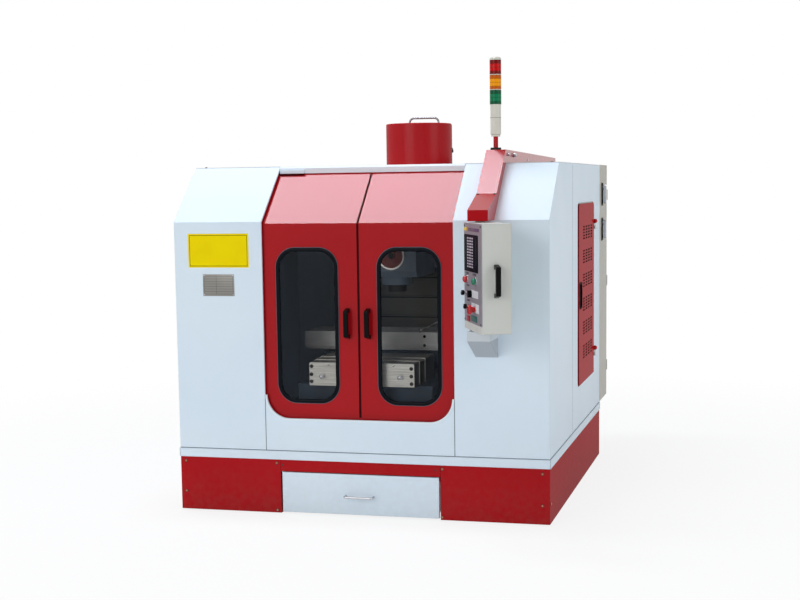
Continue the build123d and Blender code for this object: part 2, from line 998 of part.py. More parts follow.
def cable_duct():
    """Sheet duct from the roof's rear, down the slope, to the block that holds the pendant's swivel."""
    line = [(-duct_reach, fold_height), (-duct_reach, duct_block_top), (duct_kink_y, duct_kink_z)]
    tail = duct_top - duct_tail_drop
    line += [(duct_crest_y, duct_top), (duct_crest_y + duct_flat, duct_top), (enclosure_depth, tail)]
    cheek = shape(*line, (enclosure_depth, roof_height), (roof_front, roof_height), (0, fold_height))
    body = across(folded(line, sheet), duct_left, duct_right)
    body += across(cheek, duct_left, duct_left + sheet)
    body += across(cheek, duct_right - sheet, duct_right)
    body += block(duct_left, duct_right, -duct_reach, 0, fold_height, fold_height + sheet)
    body += block(duct_left, duct_right, enclosure_depth - sheet, enclosure_depth, roof_height, tail)
    hole = pivot_pin + 2 * running_gap
    return body - rod(pivot_x, pivot_y, hole, fold_height - overrun, fold_height + sheet + overrun)


def tower_pole_with_foot():
    """Tube on a round foot."""
    foot = rod(tower_x, tower_y, tower_foot, duct_top, duct_top + tower_foot_height)
    return foot + rod(tower_x, tower_y, tower_pole, duct_top + tower_foot_height, tower_base_bottom)


def tower_housing():
    """Pale base, the rings between the lenses and the domed cap."""
    pieces = [rod(tower_x, tower_y, tower_base, tower_base_bottom, tower_lamps_bottom)]
    for stage in range(tower_lens_count):
        low = tower_lamps_bottom + stage * tower_stage
        pieces.append(rod(tower_x, tower_y, tower_lens - tower_ring_inset, low, low + tower_ring))
    low = tower_lamps_bottom + tower_lens_count * tower_stage
    cap = rod(tower_x, tower_y, tower_lens, low, low + tower_cap_height)
    pieces.append(fillet(cap.edges().sort_by(Axis.Z)[-1], tower_cap_height - tower_ring))
    return Compound(children=pieces)


def tower_lens_stage(stage):
    """One coloured lens, counted from below."""
    top = tower_lamps_bottom + (stage + 1) * tower_stage
    return rod(tower_x, tower_y, tower_lens, top - tower_lens_height, top)


def pendant_bracket():
    """Folded white bracket under the pendant, with the lower swivel hole."""
    line = [(0, bracket_foot), (-bracket_reach, bracket_kink)]
    line += [(-bracket_reach, bracket_top), (0, bracket_top)]
    body = across(folded(line, sheet), bracket_left, bracket_right)
    body += across(shape(*line), bracket_left, bracket_left + sheet)
    body += across(shape(*line), bracket_right - sheet, bracket_right)
    body -= block(bracket_left, bracket_right, 0, overrun, bracket_foot - overrun, bracket_top)
    hole = pivot_pin + 2 * running_gap
    return body - rod(pivot_x, pivot_y, hole, bracket_top - sheet - overrun, bracket_top + overrun)


def on_pendant(piece):
    """Turn a piece drawn square to the front, with the swivel at the origin, to where the pendant stands."""
    return Pos(pivot_x, pivot_y, 0) * Rot(0, 0, -pendant_turn) * piece


def pendant_box():
    """Sheet box open at the control side, with swivel pins above and below."""
    front = plate_thickness - pendant_half_depth
    body = block(-pendant_back, pendant_spread, front, pendant_half_depth, pendant_bottom, pendant_top)
    body -= block(
        sheet - pendant_back,
        pendant_spread - sheet,
        front - overrun,
        pendant_half_depth - sheet,
        pendant_bottom + sheet,
        pendant_top - sheet,
    )
    body += rod(0, 0, pivot_collar, bracket_top + fit_gap, pendant_bottom)
    body += rod(0, 0, pivot_pin, bracket_top - pivot_reach, pendant_bottom)
    body += rod(0, 0, pivot_collar, pendant_top, fold_height - fit_gap)
    body += rod(0, 0, pivot_pin, pendant_top, fold_height + pivot_reach)
    return on_pendant(body)


def control_place(shares):
    """A control's X and Z on the plate."""
    return (pendant_width * shares[0] - pendant_back, pendant_top - pendant_height * shares[1])


def control_plate():
    """Plate over the box's open side, with a hole for each control's stem."""
    front = -pendant_half_depth
    plate = block(-pendant_back, pendant_spread, front, front + plate_thickness, pendant_bottom, pendant_top)
    hole = Circle(button_stem / 2 + fit_gap)
    for shares in (stop_shares, start_shares, mode_shares, feed_shares, axis_shares, emergency_shares):
        plate -= along(Pos(*control_place(shares)) * hole, front - overrun, front + plate_thickness + overrun)
    return on_pendant(plate)


def placed_control(piece, shares):
    """A control drawn upwards from the plane z = 0, laid on the plate with its stem through it."""
    x, z = control_place(shares)
    stem = rod(0, 0, button_stem, -button_stem_length, 0)
    return on_pendant(Pos(x, -pendant_half_depth, z) * Rot(90, 0, 0) * (piece + stem))


def push_button(shares):
    """Round button that stands off the plate by more than its travel."""
    head = rod(0, 0, button_head, button_travel + slide_gap, button_rise)
    head = fillet(head.edges().sort_by(Axis.Z)[-1], button_travel)
    return placed_control(head + rod(0, 0, button_stem, 0, button_rise / 2), shares)


def selector(shares, diameter, rise):
    """Round knob with a raised bar to turn it by."""
    skirt = rod(0, 0, diameter, slide_gap, knob_skirt_height)
    bar = block(-knob_grip / 2, knob_grip / 2, -diameter / 2, diameter / 2, knob_skirt_height, rise)
    bar &= rod(0, 0, diameter, 0, rise)
    return placed_control(skirt + bar + rod(0, 0, button_stem, 0, knob_skirt_height), shares)


def emergency_button():
    """Mushroom button on a neck."""
    low = mushroom_rise - mushroom_thickness
    head = rod(0, 0, mushroom_head, low, mushroom_rise)
    head = fillet(head.edges().sort_by(Axis.Z)[-1], mushroom_thickness / 2)
    neck = rod(0, 0, mushroom_neck, button_travel + slide_gap, low)
    return placed_control(head + neck + rod(0, 0, button_stem, 0, low), emergency_shares)


def pendant_handle():
    """Bow handle on the pendant's outer side face."""
    handle = Rot(0, 0, 90) * bow(handle_length, handle_reach, handle_bar, handle_width)
    return on_pendant(Pos(pendant_spread, 0, grip_z) * handle)


def side_door():
    """Vented door pan with hinge barrels at its rear edge."""
    outer = half + side_door_depth + seam
    body = across(side_outline(0), half + seam, outer)
    body -= across(side_outline(sheet), half - overrun, outer - sheet)
    slot_length = (vent_rear - vent_front) / vent_columns - vent_bridge
    pitch = (vent_rear - vent_front) / vent_columns
    slots = Sketch()
    for group in range(vent_groups):
        for row in range(vent_rows):
            for column_index in range(vent_columns):
                y = vent_front + pitch * (column_index + 1 / 2)
                z = vent_top - group * vent_group_pitch - row * vent_row_pitch - vent_slot / 2
                slots += Pos(y, z) * Rectangle(slot_length, vent_slot)
    body -= across(slots, outer - sheet - overrun, outer + overrun)
    body -= across(pull_outline(pull_rim - fit_gap), outer - sheet - overrun, outer + overrun)
    for z in hinge_heights:
        top = z + side_hinge_length
        arm = block(outer - sheet, outer, side_door_rear - sheet, hinge_y, z + fit_gap, top)
        arm += rod(half + hinge_offset, hinge_y, hinge_barrel, z + fit_gap, top)
        body += arm
        body -= rod(half + hinge_offset, hinge_y, hinge_pin + 2 * running_gap, z - overrun, top + overrun)
    return body


def pull_outline(lap):
    """Outline of the side door's pull, drawn in by a lap."""
    face = RectangleRounded(pull_width - 2 * lap, pull_height - 2 * lap, pull_corner - lap)
    return Pos(side_handle_y, side_handle_z) * face


def side_door_handle():
    """Flush pull near the side door's front edge: a flange outside and a dished cup through the sheet."""
    outer = half + side_door_depth + seam
    pull = across(pull_outline(0), outer, outer + pull_flange)
    pull += across(pull_outline(pull_rim), outer - pull_depth, outer)
    floor = outer - pull_depth + sheet
    return pull - across(pull_outline(pull_rim + sheet), floor, outer + pull_flange + overrun)


def fixed_hinge(x, y, z, length):
    """Fixed half of a lift-off hinge: lower barrel and an upright pin."""
    barrel = rod(x, y, hinge_barrel, z - length, z)
    return barrel + rod(x, y, hinge_pin, z - length, z + length + slide_gap)


def electrical_cabinet():
    """Sheet cabinet open to the right, with a lip round the opening and fixed hinge halves behind."""
    mouth = cabinet_right - cabinet_door_depth
    front, rear = enclosure_depth, cabinet_rear
    body = block(cabinet_left, mouth, front, rear, cabinet_bottom, cabinet_top)
    body -= block(
        cabinet_left + sheet,
        mouth - sheet,
        front + sheet,
        rear - sheet,
        cabinet_bottom + sheet,
        cabinet_top - sheet,
    )
    lip = sheet + cabinet_lip
    body -= block(
        mouth - sheet - overrun,
        mouth + overrun,
        front + lip,
        rear - lip,
        cabinet_bottom + lip,
        cabinet_top - lip,
    )
    for z in cabinet_hinge_heights:
        left = cabinet_hinge_x - hinge_leaf
        leaf = block(left, cabinet_hinge_x, rear, rear + sheet, z - hinge_length, z)
        body += leaf + fixed_hinge(cabinet_hinge_x, cabinet_hinge_y, z, hinge_length)
    return body


def drive_board():
    """Mounting plate on stand-offs with a row of drive units and a transformer block."""
    left = cabinet_left + sheet + board_stand
    front, rear = enclosure_depth + board_margin, cabinet_rear - board_margin
    low, high = cabinet_bottom + 2 * board_margin, cabinet_top - 2 * board_margin
    body = block(left, left + sheet, front, rear, low, high)
    for y in (front + board_margin, rear - board_margin):
        for z in (low + board_margin, high - board_margin):
            body += Pos(cabinet_left + sheet, y, z) * Rot(0, 90, 0) * Cylinder(
                board_stand / 4, board_stand, align=(Align.CENTER, Align.CENTER, Align.MIN)
            )
    pitch = (rear - front) / drive_count
    for index in range(drive_count):
        y = front + pitch * (index + 1 / 2)
        bottom = drive_z - drive_tall / 2
        body += block(
            left, left + drive_depth, y - drive_width / 2, y + drive_width / 2, bottom, bottom + drive_tall
        )
    return body + block(
        left,
        left + drive_depth,
        front + board_margin,
        rear - board_margin,
        low + board_margin,
        low + drive_tall,
    )


def cabinet_door():
    """Door pan over the cabinet's mouth, with hinge barrels behind and two latch holes."""
    inner = cabinet_right - cabinet_door_depth
    front, rear = enclosure_depth + cabinet_door_gap, cabinet_rear
    body = block(inner + fit_gap, cabinet_right, front, rear, cabinet_bottom, cabinet_top)
    body -= block(
        inner - overrun, cabinet_right - sheet, front + sheet, rear - sheet, cabinet_bottom + sheet,
        cabinet_top - sheet,
    )
    for z in cabinet_hinge_heights:
        low, high = z + fit_gap, z + hinge_length
        body += block(cabinet_hinge_x, cabinet_right, rear - sheet, cabinet_hinge_y, low, high)
        body += rod(cabinet_hinge_x, cabinet_hinge_y, hinge_barrel, low, high)
        bore = hinge_pin + 2 * running_gap
        body -= rod(cabinet_hinge_x, cabinet_hinge_y, bore, z - overrun, high + overrun)
    hole = Circle(latch_shaft / 2 + running_gap)
    for z in latch_heights:
        body -= across(Pos(latch_y, z) * hole, cabinet_right - sheet - overrun, cabinet_right + overrun)
    return body


def cabinet_latch(z):
    """Lever, shaft through the door and a cam inside it."""
    outer = cabinet_right + fit_gap
    cam_right = cabinet_right - cabinet_door_depth - sheet - slide_gap
    lever = Pos(latch_y, z - latch_length / 2 + latch_width / 2) * RectangleRounded(
        latch_width, latch_length, latch_width / 3
    )
    body = across(lever, outer + latch_rise, outer + latch_rise + latch_thickness)
    body += across(Pos(latch_y, z) * Circle(latch_boss / 2), outer, outer + latch_rise)
    body += across(Pos(latch_y, z) * Circle(latch_shaft / 2), cam_right - cam_thickness, outer)
    cam = Pos(latch_y - cam_reach / 2 + cam_width / 4, z) * Rectangle(cam_reach + cam_width / 2, cam_width)
    return body + across(cam, cam_right - cam_thickness, cam_right)


nodes = {
    "bed": bed(),
    "levelling_pads": levelling_pads(),
    "chip_pan": chip_pan(),
    "front_skirt_left": front_skirt(-1),
    "front_skirt_right": front_skirt(1),
    "base_surround": base_surround(),
    "chip_drawer": chip_drawer(),
    "drawer_handle": drawer_handle(),
    "front_cover_left": front_cover(-1),
    "front_cover_right": front_cover(1),
    "lower_cover": lower_cover(),
    "side_cover": side_cover(),
    "rear_cover": rear_cover(),
    "roof_cover": roof_cover(),
    "door_rails": door_rails(),
    "saddle": saddle(),
    "cross_motor": cross_motor(),
    "table": table(),
    "column": column(),
    "spindle_head": spindle_head(),
    "spindle": spindle(),
    "spindle_motor": spindle_motor(),
    "column_cover": column_cover(),
    "cable_duct": cable_duct(),
    "tower_pole": tower_pole_with_foot(),
    "tower_housing": tower_housing(),
    "pendant_bracket": pendant_bracket(),
    "pendant_box": pendant_box(),
    "control_plate": control_plate(),
    "pendant_handle": pendant_handle(),
    "stop_button": push_button(stop_shares),
    "start_button": push_button(start_shares),
    "mode_knob": selector(mode_shares, knob_head, knob_rise),
    "feed_knob": selector(feed_shares, dial_head, dial_rise),
    "axis_knob": selector(axis_shares, knob_head, knob_rise),
    "emergency_stop": emergency_button(),
    "side_door": side_door(),
    "side_door_handle": side_door_handle(),
    "electrical_cabinet": electrical_cabinet(),
    "drive_board": drive_board(),
    "cabinet_door": cabinet_door(),
}
for name, side in (("left", -1), ("right", 1)):
    nodes[f"{name}_door"] = door(side)
    nodes[f"{name}_window_seal"] = window_seal(side)
    nodes[f"{name}_window_glass"] = window_glass(side)
    nodes[f"{name}_door_handle"] = door_handle(side)
for stage, name in enumerate(("front", "middle", "rear")):
    nodes[f"way_cover_{name}"] = way_cover(stage)
for stage, name in enumerate(("lower", "middle", "upper")):
    nodes[f"column_apron_{name}"] = apron(stage)
for stage, name in enumerate(("green", "amber", "red")):
    nodes[f"tower_lens_{name}"] = tower_lens_stage(stage)
for name, z in zip(("upper", "lower"), latch_heights):
    nodes[f"cabinet_latch_{name}"] = cabinet_latch(z)

os.makedirs("parts", exist_ok=True)
for name, solid in nodes.items():
    export_step(Pos(-origin_x, -origin_y, 0) * solid, f"parts/{name}.step")
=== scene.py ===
import math
from functools import partial

import bmesh
import bpy
from mathutils import Matrix, Vector


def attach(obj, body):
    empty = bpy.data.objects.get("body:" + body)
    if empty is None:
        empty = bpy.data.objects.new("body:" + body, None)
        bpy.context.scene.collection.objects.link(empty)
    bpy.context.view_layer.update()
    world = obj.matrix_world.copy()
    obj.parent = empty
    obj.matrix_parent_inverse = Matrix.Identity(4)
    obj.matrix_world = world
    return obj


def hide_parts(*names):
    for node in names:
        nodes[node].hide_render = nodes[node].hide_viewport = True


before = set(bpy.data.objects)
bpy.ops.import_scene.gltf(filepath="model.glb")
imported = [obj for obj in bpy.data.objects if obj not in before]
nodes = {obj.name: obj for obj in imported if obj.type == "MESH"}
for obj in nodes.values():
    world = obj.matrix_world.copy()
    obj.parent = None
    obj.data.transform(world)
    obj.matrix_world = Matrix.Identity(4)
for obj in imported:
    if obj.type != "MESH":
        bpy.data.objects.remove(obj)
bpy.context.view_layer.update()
print("frame loaded:", len(nodes), "nodes")

# Places below are millimetres from the front plane and the middle of the enclosure
datum = {"middleX": 12.15, "frontY": 877.139}


def at(x, y, z):
    return Vector(((x - datum["middleX"]) / 1000, (y - datum["frontY"]) / 1000, z / 1000))


def facing(x, y, z, right, up):
    # a matrix from millimetres on a face (right, up, out) to the frame
    right, up = Vector(right).normalized(), Vector(up).normalized()
    out = right.cross(up)
    turn = Matrix((right, up, out)).transposed().to_4x4()
    return Matrix.Translation(at(x, y, z)) @ turn @ Matrix.Scale(0.001, 4)


onFront = partial(facing, right=(1, 0, 0), up=(0, 0, 1))
onRight = partial(facing, right=(0, 1, 0), up=(0, 0, 1))
onRear = partial(facing, right=(-1, 0, 0), up=(0, 0, 1))
onLeft = partial(facing, right=(0, -1, 0), up=(0, 0, 1))
onTop = partial(facing, right=(1, 0, 0), up=(0, 1, 0))


# Shader nodes

def screenTone(r, g, b):
    def linear(v):
        v /= 255
        return v / 12.92 if v <= 0.04045 else ((v + 0.055) / 1.055) ** 2.4
    return (linear(r), linear(g), linear(b), 1)


class nodeTree:
    # short ways to add nodes to a tree

    def __init__(self, tree):
        self.tree = tree

    def add(self, kind, values=(), **settings):
        node = self.tree.nodes.new(kind)
        for key, value in settings.items():
            setattr(node, key, value)
        for key, value in dict(values).items():
            self.feed(node.inputs[key], value)
        return node

    def feed(self, socket, value):
        if isinstance(value, bpy.types.NodeSocket):
            self.tree.links.new(value, socket)
        else:
            socket.default_value = value

    def math(self, operation, a, b=0.0):
        return self.add("ShaderNodeMath", {0: a, 1: b}, operation=operation).outputs[0]

    def seenDirectly(self):
        # 1 for rays of the camera, of mirrors and of glass
        path = self.add("ShaderNodeLightPath").outputs
        total = self.math("MAXIMUM", path["Is Camera Ray"], path["Is Glossy Ray"])
        return self.math("MAXIMUM", total, path["Is Transmission Ray"])

    def mixShaders(self, share, first, second, target):
        mix = self.add("ShaderNodeMixShader", {0: share, 1: first.outputs[0], 2: second.outputs[0]})
        self.feed(self.tree.nodes[target].inputs["Surface"], mix.outputs[0])


class finish(nodeTree):
    # one material under construction

    def __init__(self, name):
        self.mat = bpy.data.materials.new(name)
        self.mat.use_nodes = True
        super().__init__(self.mat.node_tree)
        self.shader = self.tree.nodes["Principled BSDF"]
        self.coords = self.add("ShaderNodeTexCoord").outputs["Object"]

    def set(self, **values):
        for key, value in values.items():
            self.feed(self.shader.inputs[key.replace("_", " ")], value)

    def mapped(self, scale):
        return self.add("ShaderNodeMapping", {"Vector": self.coords, "Scale": scale}).outputs[0]

    def noise(self, scale, detail=2.0, coords=None, rough=0.5):
        values = {"Vector": coords or self.coords, "Scale": scale, "Detail": detail, "Roughness": rough}
        return self.add("ShaderNodeTexNoise", values).outputs["Fac"]

    def ranged(self, value, low, high, outLow=0.0, outHigh=1.0):
        values = {"Value": value, "From Min": low, "From Max": high, "To Min": outLow, "To Max": outHigh}
        return self.add("ShaderNodeMapRange", values, clamp=True).outputs[0]

    def blend(self, share, a, b):
        # a and b are sockets or tones of the screen
        a, b = (v if isinstance(v, bpy.types.NodeSocket) else screenTone(*v) for v in (a, b))
        return self.add("ShaderNodeMix", {0: share, 6: a, 7: b}, data_type="RGBA").outputs[2]

    def between(self, share, a, b):
        return self.add("ShaderNodeMix", {0: share, 2: a, 3: b}, data_type="FLOAT").outputs[0]

    def bump(self, height, strength, distance, bend=0.0):
        values = {"Height": height, "Strength": strength, "Distance": distance}
        if bend:
            values["Normal"] = self.add("ShaderNodeBevel", {"Radius": bend}, samples=4).outputs[0]
        self.set(Normal=self.add("ShaderNodeBump", values).outputs[0])

    def split(self):
        return self.add("ShaderNodeSeparateXYZ", {0: self.coords}).outputs

    def patches(self, scale, detail, outLow=0.0, outHigh=1.0, coords=None):
        # noise stretched over its usual range
        return self.ranged(self.noise(scale, detail, coords), 0.3, 0.7, outLow, outHigh)


# Camera and light

shot = {"eye": (1915.67, -6476.84, 1551.2), "yaw": 14.94, "pitch": 6.56, "roll": -0.8,
        "lens": 65.8, "sensor": 36, "shiftX": 0.0045, "shiftY": 0.0669, "farEnd": 100}


def addCamera():
    yaw, pitch, roll = (math.radians(shot[k]) for k in ("yaw", "pitch", "roll"))
    ahead = Vector((-math.sin(yaw) * math.cos(pitch), math.cos(yaw) * math.cos(pitch), -math.sin(pitch)))
    right = Vector((math.cos(yaw), math.sin(yaw), 0))
    up = right.cross(ahead)
    side = math.cos(roll) * right + math.sin(roll) * up
    head = math.cos(roll) * up - math.sin(roll) * right
    data = bpy.data.cameras.new("photo_camera")
    data.sensor_width = shot["sensor"]
    data.lens = shot["lens"]
    data.shift_x, data.shift_y = shot["shiftX"], shot["shiftY"]
    data.clip_end = shot["farEnd"]
    camera = bpy.data.objects.new("photo_camera", data)
    bpy.context.collection.objects.link(camera)
    turn = Matrix((side, head, -ahead)).transposed().to_4x4()
    camera.matrix_world = Matrix.Translation(at(*shot["eye"])) @ turn
    bpy.context.scene.camera = camera


studio = {"ambient": 0.42, "sky": (0.93, 0.97, 1.0),
          "overhead": {"place": (-1.45, -0.08, 7.0), "aim": (-1.45, -0.08, 0), "size": (3.4, 0.9),
                       "power": 250, "tone": (0.855, 0.905, 1.0)},
          "front": {"place": (-3.2, -8.5, 3.6), "aim": (0, 0, 0.9), "size": (5.0, 3.6), "power": 162,
                    "tone": (1, 1, 1)},
          "right": {"place": (7.5, -2.8, 3.4), "aim": (0.4, 0, 0.9), "size": (4.0, 3.2), "power": 90,
                    "tone": (1, 1, 1)}}


def addLamp(name, lamp):
    data = bpy.data.lights.new(name, "AREA")
    data.shape = "RECTANGLE"
    data.size, data.size_y = lamp["size"]
    data.energy = lamp["power"]
    data.color = lamp["tone"]
    ob = bpy.data.objects.new(name, data)
    bpy.context.collection.objects.link(ob)
    ob.location = lamp["place"]
    ob.rotation_euler = (Vector(lamp["aim"]) - Vector(lamp["place"])).to_track_quat("-Z", "Y").to_euler()


def addWorld():
    world = bpy.data.worlds.new("studio")
    bpy.context.scene.world = world
    world.use_nodes = True
    sky = nodeTree(world.node_tree)
    light = sky.tree.nodes["Background"]
    sky.feed(light.inputs["Color"], (*studio["sky"], 1))
    sky.feed(light.inputs["Strength"], studio["ambient"])
    shown = sky.add("ShaderNodeBackground", {"Color": (1, 1, 1, 1)})
    sky.mixShaders(sky.seenDirectly(), light, shown, "World Output")


floorLook = {"reach": 40.0, "tone": 0.9, "rough": 0.9, "near": (1.2, 0.84), "far": (5.0, 1.0)}


def addFloor():
    # the floor keeps its shadow near the machine and turns white further out
    bpy.ops.object.select_all(action="DESELECT")
    bpy.ops.mesh.primitive_plane_add(size=floorLook["reach"] * 2, location=(0, 0, 0))
    floor = bpy.context.object
    floor.name = "studio_floor"
    f = finish("studio_floor")
    f.set(Base_Color=(*[floorLook["tone"]] * 3, 1), Roughness=floorLook["rough"])
    away = f.add("ShaderNodeVectorMath", {0: f.coords}, operation="LENGTH").outputs["Value"]
    ends = zip(("From Min", "To Min", "From Max", "To Max"), floorLook["near"] + floorLook["far"])
    fade = f.add("ShaderNodeMapRange", dict(ends, Value=away), interpolation_type="SMOOTHSTEP").outputs[0]
    share = f.math("MULTIPLY", f.seenDirectly(), fade)
    f.mixShaders(share, f.shader, f.add("ShaderNodeEmission"), "Material Output")
    floor.data.materials.append(f.mat)


addCamera()
addWorld()
for lampName in ("overhead", "front", "right"):
    addLamp(lampName + "_lamp", studio[lampName])
addFloor()
bpy.context.scene.view_settings.view_transform = "Standard"
print("camera, lamps and floor set")


# Finishes

def around(value, spread):
    return [value + step for step in spread]


sheetGrain = {"cloud": (0.35, 0.68), "dust": (38, 5), "shine": (5, 3), "spread": (-0.03, 0.04),
              "depth": 0.0004}


def sheetPaint(name, look):
    # sprayed sheet metal: slight clouding, fine orange peel, dust low down
    f = finish(name)
    cloud = f.ranged(f.noise(look["cloud"], 3), *sheetGrain["cloud"])
    tone = f.blend(cloud, look["tone"], look["shade"])
    fall = f.ranged(f.split()[2], 0.0, look["dustTop"], look["dust"], 0.0)
    dust = f.math("MULTIPLY", fall, f.patches(*sheetGrain["dust"]))
    f.set(Base_Color=f.blend(dust, tone, look["dustTone"]),
          Roughness=f.patches(*sheetGrain["shine"], *around(look["rough"], sheetGrain["spread"])),
          Specular_IOR_Level=look["shine"], Coat_Weight=look["coat"], Coat_Roughness=look["coatRough"])
    f.bump(f.noise(look["peelScale"], 1), look["peel"], sheetGrain["depth"], look["bend"])
    return f


whiteLook = {"tone": (233, 246, 255), "shade": (227, 241, 252), "cloud": 1.3, "rough": 0.42, "coat": 0.12,
             "coatRough": 0.3,
             "shine": 0.05, "peelScale": 620, "peel": 0.12, "dust": 0.10, "dustTop": 0.45,
             "dustTone": (176, 172, 164), "bend": 0.004}
redLook = {"tone": (182, 22, 30), "shade": (174, 19, 27), "cloud": 1.6, "rough": 0.40, "coat": 0.3,
           "coatRough": 0.09,
           "shine": 0.0, "peelScale": 620, "peel": 0.12, "dust": 0.18, "dustTop": 0.30,
           "dustTone": (150, 92, 84), "bend": 0.004}
beigeLook = {"tone": (214, 215, 208), "shade": (207, 208, 200), "cloud": 2.2, "rough": 0.46, "coat": 0.2,
             "coatRough": 0.26,
             "shine": 0.05, "peelScale": 540, "peel": 0.16, "dust": 0.10, "dustTop": 0.6,
             "dustTone": (168, 162, 148), "bend": 0.005}


metalGrain = {"stain": (0.4, 0.75), "lines": (0.25, 0.75), "spread": (-0.08, 0.1), "depth": 0.0002}


def brushedMetal(name, look):
    # metal with fine lines along one axis
    f = finish(name)
    lines = f.noise(1, 2, f.mapped(look["grain"]), 0.6)
    stain = f.ranged(f.noise(look["stain"], 4), *metalGrain["stain"])
    tone = f.blend(lines, look["tone"], look["shade"])
    tone = f.blend(f.math("MULTIPLY", stain, look["stained"]), tone, look["stainTone"])
    rough = around(look["rough"], metalGrain["spread"])
    f.set(Base_Color=tone, Metallic=look["metal"], Roughness=f.ranged(lines, *metalGrain["lines"], *rough))
    f.bump(lines, look["relief"], metalGrain["depth"])
    return f


steelLook = {"tone": (236, 234, 226), "shade": (176, 173, 165), "grain": (9, 300, 300), "stain": 11,
             "stained": 0.6,
             "stainTone": (128, 125, 118), "metal": 0.6, "rough": 0.34, "relief": 0.2}
chromeLook = {"tone": (192, 192, 196), "shade": (180, 180, 185), "grain": (90, 90, 60), "stain": 20,
              "stained": 0.15,
              "stainTone": (170, 168, 164), "metal": 1.0, "rough": 0.14, "relief": 0.02}
ironLook = {"tone": (250, 250, 247), "shade": (202, 202, 200), "grain": (7, 260, 260), "stain": 12,
            "stained": 0.4,
            "stainTone": (158, 156, 150), "metal": 0.3, "rough": 0.4, "relief": 0.2}
apronLook = {"tone": (104, 101, 92), "shade": (88, 86, 79), "grain": (18, 300, 500), "stain": 7,
             "stained": 0.5,
             "stainTone": (74, 72, 68), "metal": 0.75, "rough": 0.46, "relief": 0.10}
plateLook = {"tone": (146, 143, 137), "shade": (134, 131, 125), "grain": (26, 500, 500), "stain": 14,
             "stained": 0.2,
             "stainTone": (108, 105, 100), "metal": 0.5, "rough": 0.42, "relief": 0.06}
darkSteelLook = {"tone": (66, 62, 60), "shade": (48, 46, 45), "grain": (160, 160, 160), "stain": 40,
                 "stained": 0.3,
                 "stainTone": (120, 96, 80), "metal": 0.8, "rough": 0.34, "relief": 0.05}


plasticGrain = {"spread": (-0.05, 0.05), "shine": 0.5, "depth": 0.0002}


def mouldedPlastic(name, look):
    # moulded plastic or rubber: a fine grain and slightly uneven shine
    f = finish(name)
    patch = f.patches(look["patch"], 3)
    f.set(Base_Color=f.blend(patch, look["tone"], look["shade"]),
          Roughness=f.patches(look["patch"] * 2, 2, *around(look["rough"], plasticGrain["spread"])),
          Specular_IOR_Level=look.get("shine", plasticGrain["shine"]))
    f.bump(f.noise(look["grain"], 2), look["relief"], plasticGrain["depth"])
    return f


blackLook = {"tone": (9, 10, 12), "shade": (6, 7, 8), "patch": 18, "rough": 0.13, "shine": 0.08,
             "grain": 1500, "relief": 0.10}
rubberLook = {"tone": (10, 15, 23), "shade": (7, 11, 17), "patch": 10, "rough": 0.12, "shine": 0.07,
              "grain": 1200, "relief": 0.14}
mattLook = {"tone": (11, 11, 12), "shade": (7, 7, 8), "patch": 30, "rough": 0.7, "shine": 0.04, "grain": 900,
            "relief": 0.2}
housingLook = {"tone": (224, 221, 208), "shade": (214, 211, 198), "patch": 16, "rough": 0.34, "grain": 1300,
               "relief": 0.06}
# the castings' dark tone is painted shade for the dim inside; the head takes a lighter copy of it as painted
# light
castLook = {"tone": (66, 80, 96), "shade": (56, 70, 85), "patch": 7, "rough": 0.5, "shine": 0.3, "grain": 260,
            "relief": 0.4}
padLook = {"tone": (58, 58, 60), "shade": (44, 44, 46), "patch": 30, "rough": 0.6, "grain": 400,
           "relief": 0.4}
buttonLook = {"patch": 60, "rough": 0.25, "grain": 2000, "relief": 0.04}


lensGrain = {"ribs": 91, "ribEdge": 0.25, "seams": 4, "seamFrom": 0.9, "seamShare": 0.45,
             "scale": 60, "rough": (0.14, 0.22), "shine": 0.12}
# each lens: its own tone, then the brighter tone of its painted highlight bands
lensTones = {"green": ((0, 88, 54), (0, 128, 82)), "amber": ((204, 96, 0), (255, 164, 0)),
             "red": ((122, 2, 5), (208, 8, 12))}


def lensPlastic(name, tone, glint):
    # clear coloured lens with bands painted brighter where its inner ribs would catch light: a painted
    # highlight
    f = finish(name)
    up, ribs, edge = f.split()[2], lensGrain["ribs"], lensGrain["ribEdge"]
    rib = f.math("SINE", f.math("MULTIPLY", up, ribs))
    lit = f.blend(f.ranged(rib, -edge, edge), tone, glint)
    wave = f.math("COSINE", f.math("MULTIPLY", up, ribs * lensGrain["seams"]))
    seam = f.math("GREATER_THAN", wave, lensGrain["seamFrom"])
    dark = [v * lensGrain["seamShare"] for v in tone]
    f.set(Base_Color=f.blend(f.math("MULTIPLY", seam, lensGrain["seamShare"]), lit, dark),
          Roughness=f.patches(lensGrain["scale"], 2, *lensGrain["rough"]),
          Specular_IOR_Level=lensGrain["shine"])
    return f


# the pane's lighter streaks are a painted reflection
paneLook = {"stretch": (13, 1, 0.8), "paintedReflection": (0.4, 0.66), "tone": (9, 12, 17), "paintedReflectionTone": (44, 54, 66),
            "scale": 9, "rough": (0.04, 0.10), "alpha": 0.16, "ior": 1.4}


def windowPane(name, look):
    # tinted safety pane: it dims what is behind it and shows faint lighter streaks, a painted reflection
    f = finish(name)
    paintedReflection = f.ranged(f.noise(1, 3, f.mapped(look["stretch"])), *look["paintedReflection"])
    f.set(Base_Color=f.blend(paintedReflection, look["tone"], look["paintedReflectionTone"]),
          Roughness=f.patches(look["scale"], 2, *look["rough"]), Alpha=look["alpha"], IOR=look["ior"])
    return f


def maskedFinish(f, mask, tone, metal, rough):
    # where mask is 1 the surface takes another tone, metalness and roughness
    for key, value, mixer in (("Base Color", tone, f.blend), ("Metallic", metal, f.between),
                              ("Roughness", rough, f.between)):
        socket = f.shader.inputs[key]
        held = socket.links[0].from_socket if socket.is_linked else socket.default_value
        f.feed(socket, mixer(mask, held, value))


def above(f, axis, limit):
    # 1 on the far side of a plane across an axis, in metres of the frame
    return f.math("GREATER_THAN", f.split()["XYZ".index(axis)], limit)


def below(f, axis, limit):
    return f.math("SUBTRACT", 1.0, above(f, axis, limit))


dressed = set()


